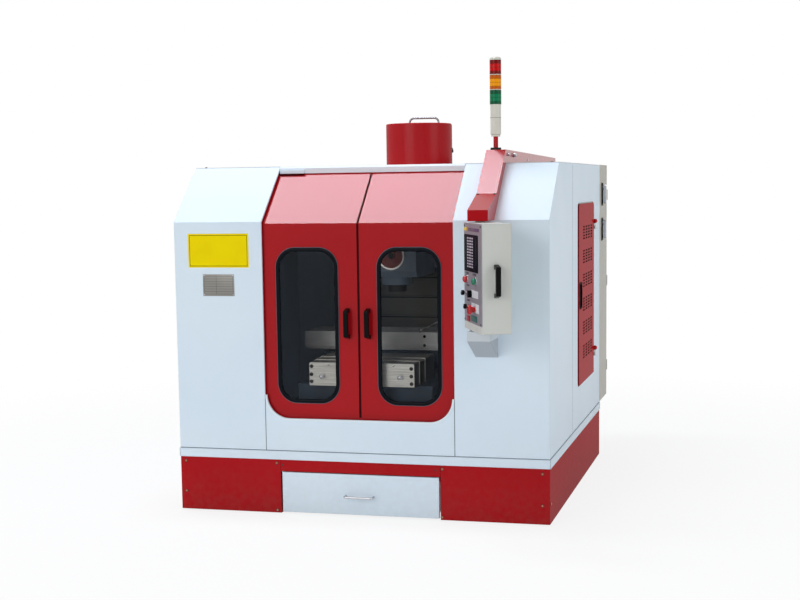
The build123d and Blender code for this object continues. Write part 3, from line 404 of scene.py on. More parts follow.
def dress(f, *names):
    # one finish on CAD nodes
    for name in names:
        nodes[name].data.materials.clear()
        nodes[name].data.materials.append(f.mat)
    dressed.update(names)
    return f.mat


whitePaint = dress(sheetPaint("white_sheet", whiteLook), "chip_pan", "chip_drawer", "front_cover_left",
                   "front_cover_right", "lower_cover", "rear_cover")
dress(sheetPaint("red_sheet", redLook), "left_door", "right_door")
dress(sheetPaint("base_red", dict(redLook, coat=0.12)), "base_surround", "front_skirt_left",
      "front_skirt_right")
dress(sheetPaint("beige_sheet", beigeLook), "pendant_box")
dress(sheetPaint("cabinet_beige", dict(beigeLook, tone=(195, 191, 180), shade=(188, 184, 172))),
      "electrical_cabinet", "cabinet_door")
dress(brushedMetal("bright_steel", steelLook), "door_rails")
chrome = dress(brushedMetal("polished_chrome", chromeLook), "drawer_handle", "cabinet_latch_upper",
               "cabinet_latch_lower")
dress(brushedMetal("ground_iron", ironLook), "table")
apronSteel = dress(brushedMetal("oiled_apron", apronLook), "column_apron_lower", "column_apron_middle",
                   "column_apron_upper")
plateMetal = brushedMetal("bare_plate", plateLook).mat
darkSteel = dress(brushedMetal("blackened_steel", darkSteelLook), "spindle")
bronze = brushedMetal("screw_bronze",
                      dict(darkSteelLook, tone=(188, 126, 98), shade=(160, 100, 76), stained=0.1)).mat
blackPlastic = dress(mouldedPlastic("black_grip", blackLook), "left_door_handle", "right_door_handle",
                     "pendant_handle", "mode_knob", "feed_knob", "axis_knob", "cross_motor", "spindle_motor")
mattBlack = dress(mouldedPlastic("matt_black", mattLook), "side_door_handle")
# matt dark maroon for the doors' meeting strip and for the header tab's painted shadow
gapAndShadowRed = mouldedPlastic("gap_and_shadow_red", dict(mattLook, tone=(66, 8, 13), shade=(52, 6, 10))).mat
sealRubber = dress(mouldedPlastic("window_rubber", rubberLook), "left_window_seal", "right_window_seal")
# lighter grey for the strip along the window seal's outer edge, partly a painted highlight
beadGloss = mouldedPlastic("bead_gloss", dict(rubberLook, tone=(84, 92, 104), shade=(70, 78, 90), rough=0.16,
                                              shine=0.5)).mat
housingPlastic = dress(mouldedPlastic("tower_plastic", housingLook), "tower_housing")
# bed, column and saddle in the castings' darker tone: painted shade
dress(mouldedPlastic("cast_blue_grey", castLook), "bed", "column", "saddle")
dress(mouldedPlastic("pad_iron", padLook), "levelling_pads")
buttonRed = dress(mouldedPlastic("button_red", dict(buttonLook, tone=(196, 26, 30), shade=(178, 18, 24))),
                  "stop_button", "emergency_stop")
buttonGreen = dress(mouldedPlastic("button_green", dict(buttonLook, tone=(22, 128, 96), shade=(14, 112, 84))),
                    "start_button")
dress(windowPane("tinted_pane", paneLook), "left_window_glass", "right_window_glass")
for lens, tones in lensTones.items():
    dress(lensPlastic("lens_" + lens, *tones), "tower_lens_" + lens)

# A second surface past a plane: side, axis, limit in metres, then tone, metalness and roughness.
# The roof's level top takes a darker tone than its fascia: painted shade to offset the overhead lamp straight
# above it.
hingeSteel = ((198, 198, 196), 0.9, 0.3)
pastPlane = {"column_cover": (above, "Z", 1.8772, (122, 122, 126), 1.0, 0.2),
             "roof_cover": (above, "Z", 1.6486, (206, 213, 219), 0.0, 0.45),
             # The bracket's sloped underside below its kink is darker: painted shade.
             "pendant_bracket": (below, "Z", 0.861, (178, 184, 190), 0.0, 0.45),
             "tower_pole": (below, "Z", 1.7202, (24, 24, 26), 0.0, 0.55),
             "side_door": (above, "Y", at(0, 1521, 0).y, *hingeSteel),
             "drive_board": (above, "X", at(432, 0, 0).x, (52, 56, 60), 0.0, 0.45),
             "control_plate": (below, "Z", 0.946, beigeLook["tone"], 0.0, 0.45)}


def dressTwice(name, f):
    side, axis, limit, *surface = pastPlane[name]
    maskedFinish(f, side(f, axis, limit), *surface)
    dress(f, name)


dressTwice("column_cover", sheetPaint("hood_red", dict(redLook, coat=0.3, coatRough=0.24)))
dressTwice("roof_cover",
           sheetPaint("roof_white", dict(whiteLook, tone=(240, 245, 252), shade=(234, 240, 248))))
# the bracket takes a greyer copy of the white paint: painted shade, darker again below its kink
dressTwice("pendant_bracket",
           sheetPaint("bracket_white", dict(whiteLook, tone=(214, 220, 224), shade=(207, 213, 218))))
dressTwice("tower_pole", sheetPaint("pole_red", redLook))
dressTwice("side_door", sheetPaint("side_red", dict(redLook, coat=0.16)))
dressTwice("drive_board",
           brushedMetal("zinc_board",
                        dict(steelLook, tone=(196, 196, 188), shade=(180, 180, 172), grain=(120, 40, 60))))
dressTwice("control_plate",
           brushedMetal("control_face",
                        dict(plateLook, tone=(158, 154, 162), shade=(148, 144, 152), metal=0.2)))

ductLook = {"front": -145, "kink": 1512, "side": 649.5, "slopeCoat": 0.5, "lowCoat": 1.0, "frontCoat": 0.08,
            "coatRough": 0.2}


def ductFinish():
    # more clear coat on the cheeks and below the kink, hardly any on the front
    f = sheetPaint("duct_red", dict(redLook, coatRough=ductLook["coatRough"]))
    edge = at(ductLook["side"], ductLook["front"], ductLook["kink"])
    full = f.math("MAXIMUM", below(f, "Z", edge.z), above(f, "X", edge.x))
    coat = f.between(full, ductLook["slopeCoat"], ductLook["lowCoat"])
    f.set(Coat_Weight=f.between(below(f, "Y", edge.y), coat, ductLook["frontCoat"]))
    return f


hingeLook = {"wall": 900.6, "balls": ((635.5, 662), (1331.5, 1358)), "ball": ((196, 22, 28), 0.0, 0.25)}


def wallWithHinges():
    f = sheetPaint("side_white", whiteLook)
    outside = above(f, "X", at(hingeLook["wall"], 0, 0).x)
    maskedFinish(f, outside, *hingeSteel)
    ball = 0.0
    for low, high in hingeLook["balls"]:
        band = f.math("MULTIPLY", above(f, "Z", low / 1000), below(f, "Z", high / 1000))
        ball = f.math("MAXIMUM", ball, band)
    maskedFinish(f, f.math("MULTIPLY", outside, ball), *hingeLook["ball"])
    return f


capLook = {"centre": (0, 639.5, 1199), "reach": 70.5, "rimFrom": 61, "hubTo": 15,
           "face": ((112, 58, 54), 0.8, 0.3),
           "rim": ((220, 216, 210), 1.0, 0.22), "hub": ((34, 26, 26), 0.0, 0.4)}


def headWithCap():
    # the round cap on the head's front: coloured face, bright rim, dark hub
    # a lighter copy of the castings' paint: painted light, since the head sits in the dim inside
    f = mouldedPlastic("head_paint", dict(castLook, tone=(176, 194, 212), shade=(160, 178, 196)))
    x, y, z = f.split()
    middle = at(*capLook["centre"])
    dx, dz = f.math("SUBTRACT", x, middle.x), f.math("SUBTRACT", z, middle.z)
    away = f.math("SQRT", f.math("ADD", f.math("MULTIPLY", dx, dx), f.math("MULTIPLY", dz, dz)))
    within = f.math("LESS_THAN", away, capLook["reach"] / 1000)
    front = f.math("MULTIPLY", f.math("LESS_THAN", y, middle.y), within)
    rim = f.math("GREATER_THAN", away, capLook["rimFrom"] / 1000)
    hub = f.math("LESS_THAN", away, capLook["hubTo"] / 1000)
    maskedFinish(f, front, *capLook["face"])
    maskedFinish(f, f.math("MULTIPLY", front, rim), *capLook["rim"])
    maskedFinish(f, f.math("MULTIPLY", front, hub), *capLook["hub"])
    return f


# the way covers' darker sides and top are painted shade; the front keeps the steel's own tone with wear
wayLook = {"lip": 0.0034, "sides": {"tone": (120, 117, 110), "shade": (84, 82, 77), "metal": 0.75},
           "worn": (184, 181, 173)}


def wayCover(name):
    # worn bright front; the sides and top behind it take a darker tone, painted shade
    f = brushedMetal(name + "_steel", dict(steelLook, **wayLook["sides"]))
    front = min(corner[1] for corner in nodes[name].bound_box) + wayLook["lip"]
    wear = f.patches(1, 3, coords=f.mapped(steelLook["grain"]))
    bright = f.blend(wear, steelLook["tone"], wayLook["worn"])
    maskedFinish(f, f.math("LESS_THAN", f.split()[1], front), bright, steelLook["metal"], steelLook["rough"])
    return f


dress(ductFinish(), "cable_duct")
dress(wallWithHinges(), "side_cover")
dress(headWithCap(), "spindle_head")
for cover in ("way_cover_front", "way_cover_middle", "way_cover_rear"):
    dress(wayCover(cover), cover)
print("finishes on CAD nodes; without one:", sorted(set(nodes) - dressed))


# Modelling helpers: a piece is shaped in millimetres at the origin, then set on its face

# how far off a height a vertex may be and still count as on it
tiny = 0.01


def only(ob):
    if bpy.context.mode != "OBJECT":
        bpy.ops.object.mode_set(mode="OBJECT")
    bpy.ops.object.select_all(action="DESELECT")
    ob.select_set(True)
    bpy.context.view_layer.objects.active = ob


def pick(ob, kind, test):
    # edit mode with only what passes the test selected
    only(ob)
    bpy.ops.object.mode_set(mode="EDIT")
    bpy.ops.mesh.select_mode(type=kind)
    bpy.ops.mesh.select_all(action="DESELECT")
    shape = bmesh.from_edit_mesh(ob.data)
    for item in {"FACE": shape.faces, "EDGE": shape.edges, "VERT": shape.verts}[kind]:
        if test(item):
            item.select_set(True)
    bmesh.update_edit_mesh(ob.data)


def closeUp():
    # merge doubles, turn the faces outwards and leave edit mode
    bpy.ops.mesh.select_mode(type="FACE")
    bpy.ops.mesh.select_all(action="SELECT")
    bpy.ops.mesh.remove_doubles(threshold=0.001)
    bpy.ops.mesh.normals_make_consistent(inside=False)
    bpy.ops.object.mode_set(mode="OBJECT")


def anything(item):
    return True


def atTop(height):
    return lambda face: face.normal.z > 0.9 and face.calc_center_median().z > height - tiny


def rimAt(height):
    return lambda edge: all(v.co.z > height - tiny for v in edge.verts)


def added(name, operator, **settings):
    # what a bpy operator adds at the origin, under its name
    bpy.ops.object.select_all(action="DESELECT")
    operator(location=(0, 0, 0), **settings)
    ob = bpy.context.object
    ob.name = ob.data.name = name
    return ob


def addedDisc(name, radius, sides):
    return added(name, bpy.ops.mesh.primitive_circle_add, vertices=sides, radius=radius, fill_type="NGON")


def drawOut(height):
    bpy.ops.mesh.extrude_region_move(TRANSFORM_OT_translate={"value": (0, 0, height)})


def newFlat(name, width, height, rounding=0.0, steps=5):
    ob = added(name, bpy.ops.mesh.primitive_plane_add, size=1)
    ob.scale = (width, height, 1)
    bpy.ops.object.transform_apply(location=False, rotation=False, scale=True)
    if rounding:
        pick(ob, "VERT", anything)
        bpy.ops.mesh.bevel(offset=rounding, segments=steps, affect="VERTICES")
        bpy.ops.object.mode_set(mode="OBJECT")
    return ob


def newPlate(name, width, height, thick, rounding=0.0, edge=0.0):
    # a flat drawn out to a plate, its front rim bevelled
    ob = newFlat(name, width, height, rounding)
    pick(ob, "FACE", anything)
    drawOut(thick)
    if edge:
        pick(ob, "EDGE", rimAt(thick))
        bpy.ops.mesh.bevel(offset=edge, segments=3)
    closeUp()
    return ob


def newTurned(name, steps, sides):
    # a disc drawn out ring by ring through steps of radius and height, its base always at 0
    radius, height = steps[0]
    ob = addedDisc(name, radius, sides)
    pick(ob, "FACE", anything)
    for nextRadius, nextHeight in steps[1:]:
        drawOut(nextHeight - height)
        share = nextRadius / radius
        bpy.ops.transform.resize(value=(share, share, 1), center_override=(0, 0, nextHeight))
        radius, height = nextRadius, nextHeight
    closeUp()
    return ob


def hollowed(ob, band, thick, test, edge, segments):
    # a flat inset, its middle taken out, the rest drawn out and the edges that pass the test bevelled
    pick(ob, "FACE", anything)
    bpy.ops.mesh.inset(thickness=band)
    bpy.ops.mesh.delete(type="FACE")
    pick(ob, "FACE", anything)
    drawOut(thick)
    pick(ob, "EDGE", lambda e: test(e) and e.calc_face_angle(0) > 1)
    bpy.ops.mesh.bevel(offset=edge, segments=segments)
    closeUp()
    return ob


def newRing(name, outer, inner, thick, edge, sides=32):
    band = (outer - inner) * math.cos(math.pi / sides)
    return hollowed(addedDisc(name, outer, sides), band, thick, rimAt(thick), edge, segments=3)


def newFrame(name, size, rounding, band, thick, edge):
    # all four rims are rounded, not only the front ones
    def level(e):
        return abs(e.verts[0].co.z - e.verts[1].co.z) < tiny
    return hollowed(newFlat(name, *size, rounding, steps=12), band, thick, level, edge, segments=4)


def give(ob, *materials):
    for material in materials:
        ob.data.materials.append(material)
    return ob


def plateOf(name, look, *materials):
    return give(newPlate(name, *look["size"], look["thick"], look["corner"], look["edge"]), *materials)


def turnedOf(name, look, *materials):
    return give(newTurned(name, look["shape"], look["sides"]), *materials)


def frameOf(name, look, material):
    return give(newFrame(name, *(look[k] for k in ("size", "corner", "band", "thick", "edge"))), material)


def assign(ob, index):
    ob.active_material_index = index
    bpy.ops.object.material_slot_assign()


def repaint(ob, test):
    # the second material on the faces that pass the test
    pick(ob, "FACE", test)
    assign(ob, 1)
    bpy.ops.object.mode_set(mode="OBJECT")


def joined(name, made):
    only(made[0])
    for ob in made:
        ob.select_set(True)
    if len(made) > 1:
        bpy.ops.object.join()
    made[0].name = made[0].data.name = name
    return made[0]


def moved(ob, place):
    ob.data.transform(place)
    return ob


def twin(name, model, place):
    # a copy with its own mesh
    ob = model.copy()
    ob.data = model.data.copy()
    ob.name = ob.data.name = name
    bpy.context.collection.objects.link(ob)
    return moved(ob, place)


def copied(name, model, places):
    # one copy of the model at each place, joined to one piece
    made = [twin(name, model, place) for place in places]
    bpy.data.objects.remove(model)
    return joined(name, made)


smoothing = {"plain": 32, "round": 60}


def fitted(ob, body, place=None, angle=smoothing["plain"]):
    # set on its face, smoothed and bound to its body
    if place is not None:
        ob.data.transform(place)
    only(ob)
    bpy.ops.object.shade_smooth_by_angle(angle=math.radians(angle))
    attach(ob, body)


def scattered(name, look, material, places, body):
    # a turned piece at each place, all as one piece
    fitted(copied(name, turnedOf(name, look, material), places), body)


def frontSpots(plane, points):
    return [onFront(x, plane, z) for x, z in points]


# Screws on the skirts and the strip over the drawer

skirtScrew = {"sides": 28, "shape": ((7.6, 0), (7.6, 1.3), (5.2, 1.4), (5.0, 3.2), (3.8, 4.7), (1.8, 5.4)),
              "dome": 1.5,
              "front": ((-872, 243), (-409, 246), (-874, 95), (-410, 18), (399, 246), (866, 240), (866, 93),
                        (397, 19)),
              "right": ((24, 99),), "left": ((24, 99), (1780, 99))}
stripScrew = {"sides": 20, "shape": ((4.5, 0), (4.5, 0.8), (3.6, 1.8), (2.0, 2.2), (1.6, 2.2), (1.4, 1.0)),
              "front": ((-380, 237), (367, 239))}
enclosure = {"halfWidth": 900, "rear": 1813}


def addSkirtScrews():
    half = enclosure["halfWidth"]
    places = frontSpots(0, skirtScrew["front"])
    places += [onRight(half, y, z) for y, z in skirtScrew["right"]]
    places += [onLeft(-half, y, z) for y, z in skirtScrew["left"]]
    # bronze dome on a dark rim; the dark rim around each head is painted shadow
    model = turnedOf("skirt_screw", skirtScrew, darkSteel, bronze)
    repaint(model, lambda face: face.calc_center_median().z > skirtScrew["dome"])
    fitted(copied("skirt_screws", model, places), "machine")
    scattered("strip_screws", stripScrew, darkSteel, frontSpots(0, stripScrew["front"]),
              "machine")


# Bare plates on the left front cover

yellowPlate = {"middle": (-677.5, 0, 1256), "size": (304, 160), "thick": 1.2, "corner": 0, "edge": 0.4,
               "margin": 6, "rule": 2.6, "tone": (255, 229, 0), "shade": (251, 222, 0),
               "ruleTone": (104, 90, 12)}
silverPlate = {"middle": (-680, 0, 1092.5), "size": (158, 103), "thick": 1.2, "corner": 2, "edge": 0.4,
               "inside": (144, 84), "rows": 7, "columns": (-0.5, -0.08, 0.5), "rule": 1.1, "ruleRise": 0.2,
               "ruleTone": (74, 74, 76), "ruleRough": 0.5, "pins": (73, 45.5),
               "pin": {"sides": 16, "shape": ((3.0, 0), (3.0, 0.6), (2.2, 1.5), (0.8, 1.8))}}
enamelLook = {"patch": 9, "grain": 900, "relief": 0.05, "shine": 0.05}


def enamel(name, tone, shade, rough=0.34):
    return mouldedPlastic(name, dict(enamelLook, tone=tone, shade=shade, rough=rough)).mat


def addYellowPlate():
    look = yellowPlate
    ob = plateOf("yellow_plate", look, enamel("yellow_enamel", look["tone"], look["shade"]),
                 enamel("yellow_rule", look["ruleTone"], look["ruleTone"]))
    pick(ob, "FACE", atTop(look["thick"]))
    bpy.ops.mesh.inset(thickness=look["margin"])
    assign(ob, 1)
    bpy.ops.mesh.inset(thickness=look["rule"])
    assign(ob, 0)
    closeUp()
    fitted(ob, "machine", onFront(*look["middle"]))


def addSilverPlate():
    look = silverPlate
    width, height = look["inside"]
    ruled = enamel("plate_rules", look["ruleTone"], look["ruleTone"], look["ruleRough"])
    made = [plateOf("plate_sheet", look, plateMetal)]
    lines = [(width, look["rule"], 0, height * (row / look["rows"] - 0.5)) for row in range(look["rows"] + 1)]
    lines += [(look["rule"], height, width * share, 0) for share in look["columns"]]
    for wide, tall, x, y in lines:
        line = give(newPlate("plate_rule", wide, tall, look["ruleRise"], 0, look["ruleRise"] / 3), ruled)
        made.append(moved(line, Matrix.Translation((x, y, look["thick"]))))
    px, py = look["pins"]
    corners = [Matrix.Translation((sx * px, sy * py, look["thick"])) for sx in (-1, 1) for sy in (-1, 1)]
    made.append(copied("plate_pins", turnedOf("plate_pin", look["pin"], chrome), corners))
    fitted(joined("silver_plate", made), "machine", onFront(*look["middle"]))


addSkirtScrews()
addYellowPlate()
addSilverPlate()
print("screws and bare plates set")


# Window beads, door strips, opening trim, ledge rails, seams and the side door's gasket

# a lighter glossy strip along the outer edge of the window seal: partly a filler strip, partly a painted
# highlight
windowLine = {"size": (308, 737), "corner": 96, "band": 3, "thick": 3.4, "edge": 1.2, "rear": 20}
windowBead = {"x": 246, "rear": 29, "z": 902, "size": (306, 735), "corner": 95, "band": 20, "thick": 15,
              "edge": 7.2}
meetingStrip = {"x": 4, "width": 10, "thick": 0.8, "corner": 1, "edge": 0.3, "front": (20, 925, 905),
                "slope": (150, 1495.5, 345), "rise": (0, 0.75, 0.661)}
openingTrim = {"size": (918, 358), "corner": 119, "band": 9, "thick": 3.4, "edge": 1.5, "z": 633, "cut": -60,
               "tone": (240, 251, 255), "shade": (236, 248, 255)}
ledgeRail = {"z": 284.5, "height": 41, "out": 4, "edge": 1.5, "front": 1808, "side": 1817, "sideY": 904.5,
             "lineZ": 307, "line": 2.6, "lineOut": 0.5}
seamLine = {"width": 3, "thick": 0.35, "edge": 0.1, "front": ((-459.5, 440.5, 265), (459.5, 440.5, 265)),
            "side": (731.5, 974, 1332), "tone": (98, 106, 116), "shade": (88, 96, 106), "rough": 0.6}
# a black sheet behind the side door's vent slots stands for the dark inside: painted shade
ventShadeSheet = {"place": (898.4, 1260, 981), "size": (430, 800), "thick": 3, "corner": 10, "edge": 0.6}
sideGasket = {"place": (900, 1225.5, 981), "size": (629, 940), "corner": 34, "band": 19, "thick": 0.8,
              "edge": 0.2}
latchFrame = {"y": 1917, "heights": (1485.5, 1287.5), "size": (48, 130), "corner": 8, "band": 8, "thick": 6,
              "edge": 1.6}


def addWindowBeads():
    bead = frameOf("window_bead", windowBead, sealRubber)
    line = frameOf("window_line", windowLine, beadGloss)
    for side, sign in (("left", -1), ("right", 1)):
        x, z = sign * windowBead["x"], windowBead["z"]
        ob = twin(side + "_window_bead", bead, onFront(x, windowBead["rear"], z))
        fitted(ob, side + "_door", angle=smoothing["round"])
        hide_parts(side + "_window_seal")
        ob = twin(side + "_window_line", line, onFront(x, windowLine["rear"], z))
        fitted(ob, side + "_door", angle=smoothing["round"])
    bpy.data.objects.remove(bead)
    bpy.data.objects.remove(line)


def addMeetingStrip():
    look = meetingStrip
    made = []
    for key, up in (("front", (0, 0, 1)), ("slope", look["rise"])):
        y, z, length = look[key]
        strip = plateOf("meeting_" + key, dict(look, size=(look["width"], length)), gapAndShadowRed)
        made.append(moved(strip, facing(look["x"], y, z, (1, 0, 0), up)))
    fitted(joined("meeting_strip", made), "right_door")


def addOpeningTrim():
    # the lower part of a rounded frame edges the corners of the opening
    look = openingTrim
    ob = frameOf("opening_trim", look, enamel("trim_white", look["tone"], look["shade"]))
    pick(ob, "FACE", anything)
    bpy.ops.mesh.bisect(plane_co=(0, look["cut"], 0), plane_no=(0, 1, 0), use_fill=True, clear_outer=True)
    closeUp()
    fitted(ob, "machine", onFront(0, 0, look["z"]))


def addLedgeRails():
    # rails around the ledge, and the dark lines of the seams
    look = ledgeRail
    half = enclosure["halfWidth"]
    rails, lines = [], []
    for length, turnTo, x, y in ((look["front"], onFront, 0, 0),
                                 (look["front"], onRear, 0, enclosure["rear"]),
                                 (look["side"], onRight, half, look["sideY"]),
                                 (look["side"], onLeft, -half, look["sideY"])):
        rail = give(newPlate("ledge_rail", length, look["height"], look["out"], 0, look["edge"]), whitePaint)
        rails.append(moved(rail, turnTo(x, y, look["z"])))
        lines.append((length - 2 * look["out"], look["line"], look["lineOut"], turnTo(x, y, look["lineZ"])))
    fitted(joined("ledge_rails", rails), "machine")
    look = seamLine
    y, z, length = look["side"]
    spots = [(onFront(x, 0, z), length) for x, z, length in look["front"]]
    spots += [(onRight(half, y, z), length), (onLeft(-half, y, z), length)]
    lines += [(look["width"], length, look["thick"], place) for place, length in spots]
    dark = enamel("seam_dark", look["tone"], look["shade"], look["rough"])
    made = [moved(give(newPlate("seam_line", wide, tall, thick, 0, look["edge"]), dark), place)
            for wide, tall, thick, place in lines]
    fitted(joined("cover_seams", made), "machine")


def addSideFrames():
    fitted(frameOf("side_gasket", sideGasket, sealRubber), "machine",
           onRight(*sideGasket["place"]))
    # black sheet behind the vent slots: painted shade
    fitted(plateOf("vent_shade_sheet", ventShadeSheet, mattBlack), "side_door", onRight(*ventShadeSheet["place"]))
    places = [onRight(enclosure["halfWidth"], latchFrame["y"], z) for z in latchFrame["heights"]]
    ring = frameOf("latch_frame", latchFrame, blackPlastic)
    fitted(copied("latch_frames", ring, places), "cabinet_door")


addWindowBeads()
addMeetingStrip()
addOpeningTrim()
addLedgeRails()
addSideFrames()
print("beads, strips, rails and seams set")


# Fittings inside the working space

wayBolt = {"plane": 60, "sides": 20,
           "shape": ((9, 0), (9, 1.5), (6.6, 1.5), (6.6, 6.0), (5.6, 7.0), (3.2, 7.0), (2.8, 4.0)),
           "places": ((-245, 706), (-246, 668), (-246, 634), (242, 702), (242, 666), (243, 631))}
wayRivet = {"sides": 20, "shape": ((5, 0), (5, 1.2), (3.8, 2.6), (1.4, 3.2)),
            "places": ((-161, 713), (156, 714))}
wayKnob = {"sides": 20,
           "shape": ((9, 0), (9, 2), (5, 3), (5, 9), (9, 12), (11, 16), (10.4, 20), (7, 23), (2, 24)),
           "places": ((-192, 659), (190, 661))}
# black caps in the table's holes stand for the dark inside them: painted shade
tableHoleShade = {"plane": 436, "sides": 20, "shape": ((7.5, 0), (7.5, 0.8), (6.4, 1.2), (5.2, 1.2), (4.8, 0.3)),
             "places": ((215, 814), (214, 770), (-215, 814), (-215, 770))}


def addWorkFittings():
    for name, look, material in (("way_bolts", wayBolt, darkSteel), ("way_rivets", wayRivet, chrome),
                                 ("way_knobs", wayKnob, chrome)):
        places = frontSpots(wayBolt["plane"], look["places"])
        scattered(name, look, material, places, "machine")
    # the table's holes get black caps: painted shade
    places = frontSpots(tableHoleShade["plane"], tableHoleShade["places"])
    scattered("table_hole_shades", tableHoleShade, blackPlastic, places, "table")


coolantLine = {"from": (190, 440, 841), "to": (296, 440, 895), "pipe": 2.6, "tip": 1, "sides": 14,
               "loop": (10, 6.4, 4, 1.4, 24)}


def addCoolantLine():
    look = coolantLine
    start, radius, tip = Vector(look["from"]), look["pipe"], look["tip"]
    run = Vector(look["to"]) - start
    shape = ((radius, 0), (radius, run.length - tip), (radius - tip, run.length))
    right = Vector((0, 1, 0))
    pipe = moved(give(newTurned("coolant_pipe", shape, look["sides"]), chrome),
                 facing(*start, right, run.cross(right)))
    loop = moved(give(newRing("coolant_loop", *look["loop"]), chrome), onFront(*start))
    fitted(joined("coolant_line", [pipe, loop]), "table")


apronLip = {"plane": 1033, "size": (370, 9), "thick": 3.5, "corner": 1, "edge": 1.2,
            "heights": (1071, 967, 862)}
# a dark strip just under each lip stands for the shade below it: painted shade
apronLine = {"size": (370, 5), "thick": 2.4, "corner": 1, "edge": 0.5, "drop": 7}


def addApronLips():
    lips = [(0, z) for z in apronLip["heights"]]
    # the dark lines under the lips are painted shade
    lines = [(x, z - apronLine["drop"]) for x, z in lips]
    for name, look, material, points, slot in (("apron_lips", apronLip, apronSteel, lips, "bright_steel"),
                                               ("apron_lines", apronLine, sealRubber, lines, "seal_rubber")):
        fitted(copied(name, plateOf(name, look, material), frontSpots(apronLip["plane"], points)), "head")


addWorkFittings()
addCoolantLine()
addApronLips()
print("fittings of the working space set")


# Fittings on top: duct screws and glands, header tab, hood strap with its catch, tower rings

ductFit = {"screw": {"sides": 18, "shape": ((6, 0), (6, 1.2), (4.8, 3.0), (1.8, 3.8))},
           "kink": ((566, 50, 1506.5), (642, 50, 1506.5)),
           "fall": (0, 206, 72), "side": 650,
           "gland": {"sides": 24, "shape": ((11, 0), (11, 5), (9, 5.6), (9, 11), (7.6, 14), (4.4, 15))},
           "glands": ((493, 1688, 1.0), (347, 1688, 0.7)), "tail": (893, 1668)}
headerTab = {"middle": (-394, 280, 1623), "size": (122, 18), "thick": 9, "corner": 2, "edge": 1.5}
# a dark maroon plate on the door slope just under the tab is the tab's painted shadow
headerShadow = {"middle": (-394, 277, 1609), "size": (122, 11), "thick": 4, "corner": 1, "edge": 0.5}
hoodStrap = {"middle": (0, 1237), "radius": 175.6, "angle": 14, "z": (1655, 1869), "width": 15, "thick": 2.2,
             "corner": 3, "edge": 0.8, "catchZ": 1735}
hoodCatch = {"size": (14, 26), "thick": 3.5, "corner": 3, "edge": 1}
catchLever = {"size": (8, 16), "thick": 3, "corner": 2, "edge": 0.9, "drop": 4}
towerMiddle = (598, 318)
towerRings = {"tower_collar": {"ring": (21, 11.4, 9, 3), "z": 1771.5, "paint": housingPlastic,
                               "slot": "white_plastic"},
              "tower_seam": {"ring": (25.6, 24.2, 2.2, 0.4), "z": 1857, "paint": plateMetal,
                             "slot": "plate_grey"}}


def addDuctFittings():
    side = ductFit["side"]
    places = [facing(*p, (1, 0, 0), ductFit["fall"]) for p in ductFit["kink"]]
    scattered("duct_screws", ductFit["screw"], darkSteel, places, "machine")
    places = [onRight(side, y, z) @ Matrix.Scale(size, 4) for y, z, size in ductFit["glands"]]
    scattered("duct_glands", ductFit["gland"], chrome, places, "machine")
    places = [onRight(side, *ductFit["tail"])]
    scattered("duct_tail_screw", ductFit["screw"], chrome, places, "machine")


def addHeaderTab():
    fitted(plateOf("header_tab", headerTab, whitePaint), "machine",
           onFront(*headerTab["middle"]))
    # the dark plate under the tab is its painted shadow on the door slope
    fitted(plateOf("header_shadow", headerShadow, gapAndShadowRed), "machine", onFront(*headerShadow["middle"]))


def addHoodStrap():
    look = hoodStrap
    low, high = look["z"]
    turn = math.radians(look["angle"])
    out, right = Vector((math.cos(turn), math.sin(turn), 0)), (-math.sin(turn), math.cos(turn), 0)
    foot = Vector((*look["middle"], 0)) + out * look["radius"]
    strap = plateOf("hood_strap", dict(look, size=(look["width"], high - low)), plateMetal)
    fitted(strap, "machine", facing(foot.x, foot.y, (low + high) / 2, right, (0, 0, 1)))
    catch = plateOf("catch_base", hoodCatch, blackPlastic)
    lever = moved(plateOf("catch_lever", catchLever, blackPlastic),
                  Matrix.Translation((0, -catchLever["drop"], hoodCatch["thick"])))
    place = facing(foot.x, foot.y, look["catchZ"], right,
                   (0, 0, 1)) @ Matrix.Translation((0, 0, look["thick"]))
    fitted(joined("hood_catch", [catch, lever]), "machine", place)


def addTowerRings():
    for name, look in towerRings.items():
        ring = give(newRing(name, *look["ring"]), look["paint"])
        fitted(ring, "machine", onTop(*towerMiddle, look["z"]))


addDuctFittings()
addHeaderTab()
addHoodStrap()
addTowerRings()
print("fittings on top set")


# Control face of the pendant: places are millimetres across from the pivot side and down from the top

pendant = {"pivot": (604, -86), "turn": 66, "edge": 38, "depth": 66, "top": 1383}
pendantFace = {
    "panel": {"middle": (148, 131), "size": (284, 162), "thick": 1.6, "corner": 5, "edge": 0.6},
    "screen": {"middle": (250, 122), "size": (54, 124), "inset": 5, "thick": 1.6, "corner": 3, "edge": 0.5},
    "keys": {"first": (84, 66), "pitch": (32, 12.5), "count": (4, 11), "size": (21, 7), "thick": 0.6,
             "corner": 1.6, "edge": 0.3},
    "lamp": {"at": (48, 28), "sides": 28, "shape": ((9, 0), (9, 2), (7.6, 3), (7, 6), (5, 8.4), (2, 9.2))},
    "bezel": {"ring": (19.5, 16.4, 3, 1), "places": ((58, 249), (239, 249))},
    "screws": ((12, 12), (340, 12), (12, 428), (340, 428)),
    "screw": {"sides": 18, "shape": ((5, 0), (5, 1.0), (4, 2.2), (1.8, 2.6), (1.4, 1.4))}}
pendantLabels = {
    "legend": {"thick": 1.0, "at": (((217, 306), (134, 32)), ((224, 366), (149, 40)))},
    "bar": {"thick": 0.8, "at": (((200, 28), (220, 15)),)},
    "mark": {"thick": 0.6, "at": (((60, 222), (64, 9)), ((210, 222), (64, 9)), ((74, 275), (60, 8)),
                                  ((80, 340), (60, 8)))},
    "red": {"thick": 0.8, "at": (((84, 421), (70, 24)),)},
    "green": {"thick": 0.8, "at": (((198, 414), (128, 26)),)}}
labelEdge = {"corner": 1.5, "edge": 0.4}
